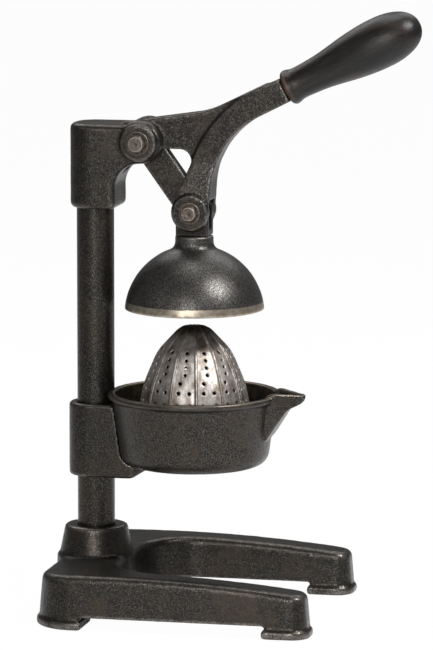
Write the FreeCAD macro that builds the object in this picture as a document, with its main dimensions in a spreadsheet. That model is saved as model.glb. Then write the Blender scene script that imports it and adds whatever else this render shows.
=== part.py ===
import FreeCAD, Part
import math
import os
import re

import Sketcher

# Lever citrus juice press, in millimetres, +Z up, lever and spout towards +X.
# The origin is on the bench under the middle of the whole press. Shapes are
# drawn about the column's axis or the press axis and placed from there.

SIZES = {
    # Main places: the column, the press axis, the two pivots and the grip
    "column_x": -117.1,
    "reach": 81.4,
    "pivot_x": 41.0,
    "pivot_z": 379.6,
    "lower_z": 323.5,
    "grip_x": 156.4,
    "grip_z": 422.9,
    "grip_tilt": 27.0,
    # Clearances: running fit, fixed fit, and air between faces that move
    "run_gap": 0.05,
    "fixed_gap": 0.02,
    "air_gap": 0.3,
    # Base casting
    "base_left": -27.5,
    "base_right": 194.0,
    "base_half": 106.5,
    "leg_inner": 73.5,
    "base_root": 31.5,
    "base_draft": 4.7,
    "base_top": 43.6,
    "base_crown_x": 40.0,
    "base_arch": 1256.0,
    "base_rear_round": 32.0,
    "base_root_round": 42.0,
    "leg_tip_round": 13.0,
    "base_edge_round": 6.0,
    "base_wall": 7.0,
    "foot_lift": 10.0,
    "foot_length": 38.0,
    "toe_length": 33.0,
    "foot_bead": 2.4,
    "foot_bead_top": 7.0,
    "boss_top": 66.6,
    "boss_radius": 25.0,
    "boss_foot": 29.6,
    "boss_heel": 32.2,
    "sleeve_radius": 21.0,
    "sleeve_foot": 10.0,
    "socket_floor": 16.0,
    # Column and the bolt that holds it down
    "column_radius": 15.0,
    "column_top": 386.0,
    "column_chamfer": 1.5,
    "foot_bolt_radius": 6.0,
    "foot_bolt_reach": 34.0,
    "foot_bolt_head": 6.5,
    "foot_bolt_hex": 10.5,
    "foot_washer_radius": 13.0,
    "foot_washer_thick": 1.8,
    # Head casting
    "head_left": 19.2,
    "head_half": 22.5,
    "head_face": 20.6,
    "head_bottom": 324.8,
    "head_top": 393.0,
    "head_end_round": 19.8,
    "head_throat": 20.0,
    "head_round": 4.2,
    "cheek_radius": 17.5,
    "head_boss_radius": 14.7,
    "head_boss_face": 26.0,
    "slot_root": 23.5,
    "head_screw_z": 345.0,
    "set_screw_radius": 4.0,
    "set_screw_hex": 7.5,
    "set_screw_head": 4.5,
    "lock_nut_thick": 5.0,
    # Upper pivot
    "pivot_radius": 6.0,
    "pivot_bush_radius": 8.0,
    "pivot_head_hex": 7.6,
    "pivot_head_thick": 6.8,
    "pivot_washer_radius": 9.4,
    "pivot_washer_thick": 2.0,
    "pivot_nut_hex": 10.4,
    "pivot_nut_thick": 10.0,
    # Layers from the middle outwards: link, lever web, fork and limb
    "link_half": 4.5,
    "link_width": 22.8,
    "web_half": 8.5,
    "hub_half": 9.0,
    "hub_radius": 17.0,
    "limb_half": 10.5,
    "ear_thick": 5.0,
    "fork_thick": 4.5,
    "fork_boss_radius": 14.4,
    "fork_boss_thick": 3.0,
    "fork_end_radius": 15.6,
    "fork_toe_round": 12.0,
    "fork_flare_low": 338.0,
    "fork_flare_high": 364.0,
    # Lever outline, measured from the lower pivot
    "limb_in_x": 19.0,
    "limb_in_z": 85.2,
    "limb_in_round": 110.0,
    "limb_out_x": 19.4,
    "limb_out_z": 59.7,
    "limb_out_round": 70.0,
    "limb_back": 24.3,
    "limb_front": 12.5,
    "limb_end_up": 9.8,
    "limb_end_down": 10.1,
    "web_sag_x": 93.8,
    "web_sag_z": 404.5,
    "web_far_x": 140.0,
    "web_far_z": 427.2,
    "window_top": 373.6,
    "window_round": 9.4,
    # Lower pivot
    "lower_radius": 5.0,
    "lower_bush_radius": 7.0,
    "lower_head_hex": 6.9,
    "lower_head_thick": 4.6,
    "lower_washer_radius": 8.6,
    "lower_washer_thick": 1.5,
    "lower_nut_hex": 9.2,
    "lower_nut_thick": 8.0,
    # Grip and its stud
    "stud_radius": 5.0,
    "stud_in_lever": 24.0,
    "stud_in_grip": 80.0,
    "grip_length": 119.3,
    "grip_bead_radius": 14.2,
    "grip_neck_radius": 12.3,
    "grip_belly_radius": 19.7,
    # Dome and yoke
    "dome_rim_z": 244.6,
    "dome_radius": 56.2,
    "dome_drop": 5.0,
    "hollow_radius": 52.1,
    "hollow_drop": 12.7,
    "neck_top": 304.0,
    "neck_radius": 15.4,
    "neck_round": 7.0,
    "yoke_half_width": 13.3,
    "yoke_floor_gap": 2.4,
    "yoke_stem_radius": 7.5,
    "yoke_stem_length": 15.5,
    "yoke_screw_radius": 3.0,
    "yoke_screw_z": 298.5,
    # Bowl
    "bowl_bottom": 118.3,
    "bowl_foot_radius": 58.7,
    "bowl_wall_radius": 66.0,
    "bowl_round": 12.0,
    "lip_bottom": 171.0,
    "rim_z": 177.0,
    "rim_radius": 69.6,
    "rim_round": 1.6,
    "bowl_floor": 124.0,
    "bowl_ledge": 150.0,
    "bowl_high_bore": 60.0,
    "ledge_width": 4.0,
    "bowl_mouth": 64.2,
    "spout_half": 17.0,
    "spout_tip": 91.8,
    "spout_tip_half": 5.0,
    "spout_root_z": 144.5,
    "spout_crest": 180.2,
    "channel_floor": 173.2,
    "channel_half": 12.0,
    "channel_tip_half": 2.6,
    "peg_radius": 5.0,
    # Bracket under the bowl
    "collar_half": 22.0,
    "collar_left": 21.3,
    "collar_end_round": 20.5,
    "collar_right": 38.0,
    "collar_bottom": 107.5,
    "collar_top": 167.0,
    "arm_bottom": 113.8,
    "arm_half": 15.0,
    "relief_half": 9.0,
    "relief_z": 150.0,
    "clamp_z": 137.0,
    "clamp_radius": 4.0,
    "clamp_hex": 7.5,
    "clamp_head": 5.5,
    # Reamer cone
    "cone_tip": 231.0,
    "cone_wall": 1.7,
    "cone_crown_out": 10.0,
    "cone_crown_round": 20.0,
    "cone_shoulder_out": 28.5,
    "cone_shoulder_down": 20.5,
    "cone_shoulder_round": 40.0,
    "cone_waist_out": 39.8,
    "cone_waist_down": 47.0,
    "cone_waist_round": 80.0,
    "cone_foot": 45.4,
    "flange_gap": 0.7,
    "flange_thick": 2.0,
    "ridge_rise": 1.4,
    "ridge_width": 1.8,
    "ridge_start": 3.0,
    "ridge_crown_round": 14.0,
    "ridge_root": 0.8,
    "ridge_count": 12,
    "cone_hole_radius": 1.4,
    "small_hole_radius": 1.25,
    "hole_column_down": 19.1,
    "hole_pitch": 5.5,
    "lone_hole_across": 3.6,
    "lone_hole_down": 42.0,
    "pair_across": 4.4,
    "pair_down": 49.5,
    "low_pair_across": 5.4,
    "low_pair_down": 59.4,
    "drain_radius": 2.0,
    "drain_inset": 7.3,
}

doc = FreeCAD.newDocument("citrus_press")
sheet = doc.addObject("Spreadsheet::Sheet", "sizes")
for row, (alias, number) in enumerate(SIZES.items(), start=1):
    sheet.set(f"A{row}", alias)
    sheet.set(f"B{row}", str(number))
    sheet.setAlias(f"B{row}", alias)
doc.recompute()

PARTS = []
NAME = re.compile(r"[a-z][a-z_]+")


def bound(text):
    """An expression with each size's name pointed at the sheet."""
    return NAME.sub(lambda m: "sizes." + m.group() if m.group() in SIZES else m.group(), str(text))


def value(text):
    """The number that an expression has now."""
    return float(sheet.evalExpression(bound(text)))


# Sketches


def body(name):
    made = doc.addObject("PartDesign::Body", name)
    made.Label = name
    return made


def sketch(owner, plane, name, offset="0"):
    """A sketch on one of the body's own origin planes, moved along its normal."""
    made = owner.newObject("Sketcher::SketchObject", f"{owner.Name}_{name}")
    origin_plane = [f for f in owner.Origin.OriginFeatures if f.Role == plane + "_Plane"][0]
    made.AttachmentSupport = [(origin_plane, "")]
    made.MapMode = "FlatFace"
    made.setExpression("AttachmentOffset.Base.z", bound(offset))
    return made


def rule(drawing, kind, *where):
    """Add a constraint whose last item is an expression."""
    geometry, text = where[:-1], where[-1]
    index = drawing.addConstraint(Sketcher.Constraint(kind, *geometry, value(text)))
    drawing.setExpression(f"Constraints[{index}]", bound(text))


def tie(drawing, kind, *where):
    drawing.addConstraint(Sketcher.Constraint(kind, *where))


def pin(drawing, geometry, point, x, y):
    """Hold a point at x, y."""
    for kind, text, axis in (("DistanceX", x, -2), ("DistanceY", y, -1)):
        if value(text) == 0:
            tie(drawing, "PointOnObject", geometry, point, axis)
        else:
            rule(drawing, kind, geometry, point, text)


def circle(drawing, x, y, radius):
    centre = FreeCAD.Vector(value(x), value(y), 0)
    index = drawing.addGeometry(Part.Circle(centre, FreeCAD.Vector(0, 0, 1), value(radius)))
    pin(drawing, index, 3, x, y)
    rule(drawing, "Radius", index, radius)


def arc_between(centre, radius, start, end):
    """The shorter arc from start to end, and whether it had to be drawn backwards."""
    first = math.atan2(start.y - centre.y, start.x - centre.x)
    last = math.atan2(end.y - centre.y, end.x - centre.x)
    backwards = (last - first) % math.tau > math.pi
    if backwards:
        first, last = last, first
    ring = Part.Circle(centre, FreeCAD.Vector(0, 0, 1), radius)
    return Part.ArcOfCircle(ring, first, last), backwards


def outline(drawing, corners):
    """A closed outline of straight lines. Each corner is (x, y) or (x, y, round)."""
    spots = [FreeCAD.Vector(value(c[0]), value(c[1]), 0) for c in corners]
    count = len(corners)
    entry, leave, rounds = [], [], []
    for i, corner in enumerate(corners):
        here = spots[i]
        if len(corner) == 2:
            entry.append(here)
            leave.append(here)
            rounds.append(None)
            continue
        radius = value(corner[2])
        back = (spots[i - 1] - here).normalize()
        ahead = (spots[(i + 1) % count] - here).normalize()
        half = back.getAngle(ahead) / 2
        entry.append(here + back * (radius / math.tan(half)))
        leave.append(here + ahead * (radius / math.tan(half)))
        middle = (back + ahead).normalize()
        rounds.append(here + middle * (radius / math.sin(half)))
    lines = []
    for i in range(count):
        edge = Part.LineSegment(leave[i], entry[(i + 1) % count])
        lines.append(drawing.addGeometry(edge))
    for i, corner in enumerate(corners):
        before, after = lines[i - 1], lines[i]
        if rounds[i] is None:
            tie(drawing, "Coincident", before, 2, after, 1)
            pin(drawing, after, 1, corner[0], corner[1])
            continue
        arc, backwards = arc_between(rounds[i], value(corner[2]), entry[i], leave[i])
        index = drawing.addGeometry(arc)
        ends = (2, 1) if backwards else (1, 2)
        tie(drawing, "Tangent", before, 2, index, ends[0])
        tie(drawing, "Tangent", index, ends[1], after, 1)
        rule(drawing, "Radius", index, corner[2])
        tip = drawing.addGeometry(Part.Point(spots[i]), True)
        pin(drawing, tip, 1, corner[0], corner[1])
        tie(drawing, "PointOnObject", tip, 1, before)
        tie(drawing, "PointOnObject", tip, 1, after)


def rectangle(drawing, left, right, low, high):
    outline(drawing, [(left, low), (right, low), (right, high), (left, high)])


def stadium(drawing, x_a, y_a, x_b, y_b, radius):
    """A slot shape round two centres."""
    a = FreeCAD.Vector(value(x_a), value(y_a), 0)
    b = FreeCAD.Vector(value(x_b), value(y_b), 0)
    along = math.atan2(b.y - a.y, b.x - a.x)
    reach = value(radius)
    side = FreeCAD.Vector(-math.sin(along), math.cos(along), 0) * reach
    normal = FreeCAD.Vector(0, 0, 1)
    quarter = math.pi / 2
    end_a = Part.ArcOfCircle(Part.Circle(a, normal, reach), along + quarter, along + 3 * quarter)
    end_b = Part.ArcOfCircle(Part.Circle(b, normal, reach), along - quarter, along + quarter)
    first = drawing.addGeometry(end_a)
    second = drawing.addGeometry(end_b)
    low = drawing.addGeometry(Part.LineSegment(a - side, b - side))
    high = drawing.addGeometry(Part.LineSegment(b + side, a + side))
    tie(drawing, "Tangent", first, 2, low, 1)
    tie(drawing, "Tangent", low, 2, second, 1)
    tie(drawing, "Tangent", second, 2, high, 1)
    tie(drawing, "Tangent", high, 2, first, 1)
    pin(drawing, first, 3, x_a, y_a)
    pin(drawing, second, 3, x_b, y_b)
    rule(drawing, "Radius", first, radius)


def under_arc(drawing, left, right, crest_x, crest_z, radius, lid):
    """The space above a wide arc, up to a lid, for cutting an arched top."""
    centre = FreeCAD.Vector(value(crest_x), value(f"{crest_z} - {radius}"), 0)
    reach = value(radius)
    ends = []
    for x in (value(left), value(right)):
        ends.append(FreeCAD.Vector(x, centre.y + math.sqrt(reach**2 - (x - centre.x) ** 2), 0))
    arc, backwards = arc_between(centre, reach, ends[0], ends[1])
    curve = drawing.addGeometry(arc)
    at_left, at_right = (2, 1) if backwards else (1, 2)
    top_left = FreeCAD.Vector(ends[0].x, value(lid), 0)
    top_right = FreeCAD.Vector(ends[1].x, value(lid), 0)
    rise = drawing.addGeometry(Part.LineSegment(ends[1], top_right))
    roof = drawing.addGeometry(Part.LineSegment(top_right, top_left))
    fall = drawing.addGeometry(Part.LineSegment(top_left, ends[0]))
    tie(drawing, "Coincident", curve, at_right, rise, 1)
    tie(drawing, "Coincident", rise, 2, roof, 1)
    tie(drawing, "Coincident", roof, 2, fall, 1)
    tie(drawing, "Coincident", fall, 2, curve, at_left)
    tie(drawing, "Vertical", rise)
    tie(drawing, "Vertical", fall)
    tie(drawing, "Horizontal", roof)
    pin(drawing, curve, 3, crest_x, f"{crest_z} - {radius}")
    rule(drawing, "Radius", curve, radius)
    rule(drawing, "DistanceX", curve, at_left, left)
    rule(drawing, "DistanceX", curve, at_right, right)
    rule(drawing, "DistanceY", roof, 1, lid)


# Features


def pad(owner, drawing, length, both_sides=False):
    made = owner.newObject("PartDesign::Pad", drawing.Name + "_pad")
    made.Profile = drawing
    made.SideType = "Symmetric" if both_sides else "One side"
    made.setExpression("Length", bound(length))
    drawing.Visibility = False
    return made


def pocket(owner, drawing, length, both_sides=False, forwards=False):
    """A cut from the sketch plane: against its normal, along it, or to both sides."""
    made = owner.newObject("PartDesign::Pocket", drawing.Name + "_cut")
    made.Profile = drawing
    made.SideType = "Symmetric" if both_sides else "One side"
    made.Reversed = forwards
    made.setExpression("Length", bound(length))
    drawing.Visibility = False
    return made


def turn(owner, drawing, kind="PartDesign::Revolution"):
    """A full turn about the sketch's upright axis, added or cut."""
    made = owner.newObject(kind, drawing.Name + "_turn")
    made.Profile = drawing
    made.ReferenceAxis = (drawing, ["V_Axis"])
    made.Angle = 360
    drawing.Visibility = False
    return made


def round_edges(owner, base, name, radius, wanted):
    """Fillet the edges of a feature that a test picks."""
    doc.recompute()
    names = [f"Edge{i}" for i, edge in enumerate(base.Shape.Edges, start=1) if wanted(edge)]
    if not names:
        raise RuntimeError(f"no edge to round for {name}")
    made = owner.newObject("PartDesign::Fillet", f"{owner.Name}_{name}")
    made.Base = (base, names)
    made.setExpression("Radius", bound(radius))
    return made


def ring_pattern(owner, feature, count):
    made = owner.newObject("PartDesign::PolarPattern", feature.Name + "_ring")
    made.Originals = [feature]
    upright = [f for f in owner.Origin.OriginFeatures if f.Role == "Z_Axis"][0]
    made.Axis = (upright, [""])
    made.Angle = 360
    made.setExpression("Occurrences", bound(count))
    owner.Tip = made
    return made


def flat_at(edge, height):
    box = edge.BoundBox
    return abs(box.ZMin - height) < 0.01 and abs(box.ZMax - height) < 0.01


# Plain solids


def cylinder(name, radius, height, start="0"):
    made = doc.addObject("Part::Cylinder", name)
    made.setExpression("Radius", bound(radius))
    made.setExpression("Height", bound(height))
    made.setExpression("Placement.Base.z", bound(start))
    return made


def sphere(name, radius, height):
    made = doc.addObject("Part::Sphere", name)
    made.setExpression("Radius", bound(radius))
    made.setExpression("Placement.Base.z", bound(height))
    return made


def hexagon(name, corner_radius, height, start="0"):
    made = doc.addObject("Part::Prism", name)
    made.Polygon = 6
    made.setExpression("Circumradius", bound(corner_radius))
    made.setExpression("Height", bound(height))
    made.setExpression("Placement.Base.z", bound(start))
    return made


def joined(name, *pieces):
    made = doc.addObject("Part::MultiFuse", name)
    made.Shapes = list(pieces)
    return made


def cut(name, base, tool):
    made = doc.addObject("Part::Cut", name)
    made.Base = base
    made.Tool = tool
    return made


def ring(name, radius, bore, height):
    """A washer or bush that stands on its own origin."""
    solid = cylinder(name + "_disc", radius, height)
    hole = cylinder(name + "_hole", bore, height)
    return cut(name, solid, hole)


def nut(name, corner_radius, bore, height):
    solid = hexagon(name + "_block", corner_radius, height)
    hole = cylinder(name + "_hole", bore, height)
    return cut(name, solid, hole)


def finish(made, name, x, y="0", z="0", turned=None):
    """Name a sub-part, put it in its place and list it."""
    made.Label = name
    if turned is not None:
        made.Placement = FreeCAD.Placement(FreeCAD.Vector(), turned)
    for axis, text in zip("xyz", (x, y, z)):
        made.setExpression(f"Placement.Base.{axis}", bound(text))
    PARTS.append((name, made))


# Turned ways: a piece drawn upright that lies along -Y (head to the front) or +Y
TO_FRONT = FreeCAD.Rotation(FreeCAD.Vector(1, 0, 0), 90)
TO_BACK = FreeCAD.Rotation(FreeCAD.Vector(1, 0, 0), -90)

AT_COLUMN = "column_x"
AT_PRESS = "column_x + reach"
FORK_INNER = "link_half + air_gap + ear_thick + air_gap"
FORK_OUTER = f"{FORK_INNER} + fork_thick"
FORK_FACE = f"{FORK_OUTER} + fork_boss_thick"


# Stand


def make_base():
    made = body("base")
    plan = sketch(made, "XY", "plan", "foot_lift")
    outline(
        plan,
        [
            ("base_left", "-base_half", "base_rear_round"),
            ("base_right", "-base_half", "leg_tip_round"),
            ("base_right", "-leg_inner", "leg_tip_round"),
            ("base_root", "-leg_inner", "base_root_round"),
            ("base_root", "leg_inner", "base_root_round"),
            ("base_right", "leg_inner", "leg_tip_round"),
            ("base_right", "base_half", "leg_tip_round"),
            ("base_left", "base_half", "base_rear_round"),
        ],
    )
    block = pad(made, plan, "base_top - foot_lift + 2")
    block.setExpression("TaperAngle", bound("-base_draft"))
    arch = sketch(made, "XZ", "arch")
    under_arc(
        arch,
        "base_left - 30",
        "base_right + 30",
        "base_crown_x",
        "base_top",
        "base_arch",
        "base_top + 40",
    )
    arched = pocket(made, arch, "4 * base_half", both_sides=True)
    low_top = value("base_top") - 15
    round_edges(made, arched, "edges", "base_edge_round", lambda edge: edge.BoundBox.ZMin > low_top)
    boss = sketch(made, "XZ", "boss")
    outline(
        boss,
        [
            ("0", "foot_lift"),
            ("boss_heel", "foot_lift"),
            ("boss_heel - 0.4", "base_top - 1.6", "1"),
            ("boss_foot", "base_top + 0.4", "4"),
            ("boss_radius", "boss_top", "2.5"),
            ("0", "boss_top"),
        ],
    )
    turn(made, boss)
    hollow = sketch(made, "XY", "hollow", "foot_lift")
    outline(
        hollow,
        [
            ("base_left + base_wall", "-base_half + base_wall", "base_rear_round - base_wall"),
            ("base_right - toe_length", "-base_half + base_wall"),
            ("base_right - toe_length", "-leg_inner - base_wall"),
            ("base_root - base_wall", "-leg_inner - base_wall", "base_root_round + base_wall"),
            ("base_root - base_wall", "leg_inner + base_wall", "base_root_round + base_wall"),
            ("base_right - toe_length", "leg_inner + base_wall"),
            ("base_right - toe_length", "base_half - base_wall"),
            ("base_left + base_wall", "base_half - base_wall", "base_rear_round - base_wall"),
        ],
    )
    pocket(made, hollow, "base_top - 6 - foot_lift - base_wall", forwards=True)
    sleeve = sketch(made, "XY", "sleeve", "sleeve_foot")
    circle(sleeve, "0", "0", "sleeve_radius")
    pad(made, sleeve, "base_top - sleeve_foot - 8")
    make_feet(made)
    socket = sketch(made, "XY", "socket", "socket_floor")
    circle(socket, "0", "0", "column_radius + fixed_gap")
    pocket(made, socket, "boss_top - socket_floor + 1", forwards=True)
    hole = sketch(made, "XY", "bolt_hole")
    circle(hole, "0", "0", "foot_bolt_radius + 0.1")
    pocket(made, hole, "socket_floor + 1", forwards=True)
    finish(made, "base", AT_COLUMN)


def make_feet(made):
    """Four pads under the corners, each with a flared bead round its foot."""
    blocks = sketch(made, "XY", "feet")
    beads = sketch(made, "XY", "beads")
    for side in ("", "-"):
        for drawing, grow in ((blocks, "0"), (beads, "foot_bead")):
            outer = f"{side}(base_half + {grow})"
            inner = f"{side}(leg_inner - {grow})"
            left = f"base_left - {grow}"
            left_end = f"base_left + foot_length + {grow}"
            right = f"base_right + {grow}"
            right_end = f"base_right - toe_length - {grow}"
            rear_round = f"base_rear_round + {grow}"
            tip_round = f"leg_tip_round + {grow}"
            outline(
                drawing,
                [(left, outer, rear_round), (left_end, outer), (left_end, inner), (left, inner)],
            )
            outline(
                drawing,
                [
                    (right, outer, tip_round),
                    (right_end, outer),
                    (right_end, inner),
                    (right, inner, tip_round),
                ],
            )
    pad(made, blocks, "foot_lift + 1")
    wide = pad(made, beads, "foot_bead_top")
    doc.recompute()
    top = value("foot_bead_top")
    shelf = []
    for face in wide.Shape.Faces:
        box = face.BoundBox
        if abs(box.ZMin - top) < 0.01 and abs(box.ZMax - top) < 0.01:
            shelf += face.OuterWire.Edges

    def wanted(edge):
        return flat_at(edge, 0) or any(edge.isSame(other) for other in shelf)

    round_edges(made, wide, "bead_edges", "foot_bead - 0.3", wanted)


def make_column():
    made = body("column")
    section = sketch(made, "XY", "section", "socket_floor")
    circle(section, "0", "0", "column_radius")
    bar = pad(made, section, "column_top - socket_floor")
    ends = (value("socket_floor"), value("column_top"))
    doc.recompute()
    names = []
    for i, edge in enumerate(bar.Shape.Edges, start=1):
        if any(flat_at(edge, height) for height in ends):
            names.append(f"Edge{i}")
    chamfer = made.newObject("PartDesign::Chamfer", "column_ends")
    chamfer.Base = (bar, names)
    chamfer.setExpression("Size", bound("column_chamfer"))
    hole = sketch(made, "XY", "tapped_hole", "socket_floor")
    circle(hole, "0", "0", "foot_bolt_radius + fixed_gap")
    pocket(made, hole, "foot_bolt_reach + 4", forwards=True)
    finish(made, "column", AT_COLUMN)


def make_foot_bolt():
    thick = "foot_washer_thick"
    washer = ring("column_bolt_washer", "foot_washer_radius", "foot_bolt_radius + 0.1", thick)
    finish(washer, "column_bolt_washer", AT_COLUMN, "0", f"sleeve_foot - {thick}")
    length = f"socket_floor + foot_bolt_reach - sleeve_foot + {thick}"
    shank = cylinder("column_bolt_shank", "foot_bolt_radius", length)
    cap = hexagon("column_bolt_cap", "foot_bolt_hex", "foot_bolt_head", "-foot_bolt_head")
    bolt = joined("column_bolt", shank, cap)
    finish(bolt, "column_bolt", AT_COLUMN, "0", f"sleeve_foot - {thick}")


def make_head():
    made = body("head")
    side = sketch(made, "XZ", "side")
    outline(
        side,
        [
            ("-head_left", "head_bottom"),
            ("head_face", "head_bottom"),
            ("head_face", "pivot_z - cheek_radius", "head_throat"),
            ("pivot_x", "pivot_z - cheek_radius"),
            ("pivot_x", "head_top"),
            ("-head_left", "head_top"),
        ],
    )
    pad(made, side, "2 * head_half", both_sides=True)
    cheeks = sketch(made, "XZ", "cheeks")
    circle(cheeks, "pivot_x", "pivot_z", "cheek_radius")
    pad(made, cheeks, "2 * head_half", both_sides=True)
    plan = sketch(made, "XY", "plan")
    beyond = "3 * head_half"
    rectangle(plan, f"-{beyond}", f"pivot_x + {beyond}", f"-{beyond}", beyond)
    far = "pivot_x + cheek_radius + 5"
    outline(
        plan,
        [
            ("-head_left", "-head_half", "head_end_round"),
            (far, "-head_half"),
            (far, "head_half"),
            ("-head_left", "head_half", "head_end_round"),
        ],
    )
    trimmed = pocket(made, plan, "2 * head_top + 80", both_sides=True)
    top, bottom, half = value("head_top"), value("head_bottom"), value("head_half")

    def outside(edge):
        box = edge.BoundBox
        on_side = box.YLength < 0.01 and abs(abs(box.YMin) - half) < 0.01 and box.XMax > 1
        if on_side and box.ZLength < 0.01 and box.ZMax > top - 20 and not flat_at(edge, top):
            return False
        return flat_at(edge, top) or flat_at(edge, bottom) or on_side

    round_edges(made, trimmed, "edges", "head_round", outside)
    boss = sketch(made, "XZ", "boss")
    circle(boss, "pivot_x", "pivot_z", "head_boss_radius")
    pad(made, boss, "2 * head_boss_face", both_sides=True)
    bore = sketch(made, "XY", "bore", "head_bottom - 1")
    circle(bore, "0", "0", "column_radius + fixed_gap")
    pocket(made, bore, "column_top - head_bottom + 1.5", forwards=True)
    slot = sketch(made, "XY", "slot", "head_bottom")
    slot_half = "(hub_half + air_gap)"
    rectangle(slot, "slot_root", f"pivot_x + {beyond}", f"-{slot_half}", slot_half)
    pocket(made, slot, "head_top - head_bottom + 20", forwards=True)
    pivot = sketch(made, "XZ", "pivot_bore")
    circle(pivot, "pivot_x", "pivot_z", "pivot_radius + fixed_gap")
    pocket(made, pivot, "3 * head_boss_face", both_sides=True)
    screw = sketch(made, "XZ", "screw_hole")
    circle(screw, "0", "head_screw_z", "set_screw_radius + fixed_gap")
    pocket(made, screw, "head_half + 5")
    finish(made, "head", AT_COLUMN)


def make_head_screw():
    bore = "set_screw_radius + fixed_gap"
    lock = nut("head_lock_nut", "set_screw_hex", bore, "lock_nut_thick")
    finish(lock, "head_lock_nut", AT_COLUMN, "head_half", "head_screw_z", TO_BACK)
    shank_length = "head_half - column_radius + lock_nut_thick + 3"
    shank = cylinder("head_screw_shank", "set_screw_radius", shank_length)
    cap = hexagon("head_screw_cap", "set_screw_hex", "set_screw_head", shank_length)
    screw = joined("head_set_screw", shank, cap)
    finish(screw, "head_set_screw", AT_COLUMN, "column_radius", "head_screw_z", TO_BACK)


def make_pivot_set(prefix, names, x, z, face, radius, head, washer, nut_size):
    """A bolt with its head to the front, two washers and a nut, through a fork."""
    bolt_name, front_name, back_name, nut_name = names
    head_hex, head_thick = head
    washer_radius, washer_thick = washer
    nut_hex, nut_thick = nut_size
    bore = f"{radius} + fixed_gap"
    finish(ring(front_name, washer_radius, bore, washer_thick), front_name, x, f"-({face})", z, TO_FRONT)
    finish(ring(back_name, washer_radius, bore, washer_thick), back_name, x, face, z, TO_BACK)
    finish(nut(nut_name, nut_hex, bore, nut_thick), nut_name, x, f"{face} + {washer_thick}", z, TO_BACK)
    length = f"(2 * ({face}) + 2 * {washer_thick} + {nut_thick} + 2)"
    shank = cylinder(prefix + "_shank", radius, length, f"-{length}")
    cap = hexagon(prefix + "_cap", head_hex, head_thick)
    finish(joined(bolt_name, shank, cap), bolt_name, x, f"-({face} + {washer_thick})", z, TO_FRONT)


def make_pivots():
    make_pivot_set(
        "pivot",
        ("pivot_bolt", "pivot_front_washer", "pivot_back_washer", "pivot_nut"),
        "column_x + pivot_x",
        "pivot_z",
        "head_boss_face",
        "pivot_radius",
        ("pivot_head_hex", "pivot_head_thick"),
        ("pivot_washer_radius", "pivot_washer_thick"),
        ("pivot_nut_hex", "pivot_nut_thick"),
    )
    make_pivot_set(
        "lower",
        ("lower_pivot_bolt", "lower_front_washer", "lower_back_washer", "lower_pivot_nut"),
        AT_PRESS,
        "lower_z",
        FORK_FACE,
        "lower_radius",
        ("lower_head_hex", "lower_head_thick"),
        ("lower_washer_radius", "lower_washer_thick"),
        ("lower_nut_hex", "lower_nut_thick"),
    )
    bush = ring("pivot_bush", "pivot_bush_radius", "pivot_radius + run_gap", "2 * hub_half")
    finish(bush, "pivot_bush", "column_x + pivot_x", "-hub_half", "pivot_z", TO_BACK)


# Lever


def limb_outline(drawing):
    """From the grip down the curved limb, round the fork's end and back up."""
    outline(
        drawing,
        [
            ("grip_x - limb_end_up * sin(grip_tilt)", "grip_z + limb_end_up * cos(grip_tilt)"),
            ("reach + limb_in_x", "lower_z + limb_in_z", "limb_in_round"),
            ("reach - limb_back", "lower_z - fork_end_radius", "fork_end_radius"),
            ("reach + limb_front", "lower_z - fork_end_radius", "fork_toe_round"),
            ("reach + limb_out_x", "lower_z + limb_out_z", "limb_out_round"),
            ("grip_x + limb_end_down * sin(grip_tilt)", "grip_z - limb_end_down * cos(grip_tilt)"),
        ],
    )


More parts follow.
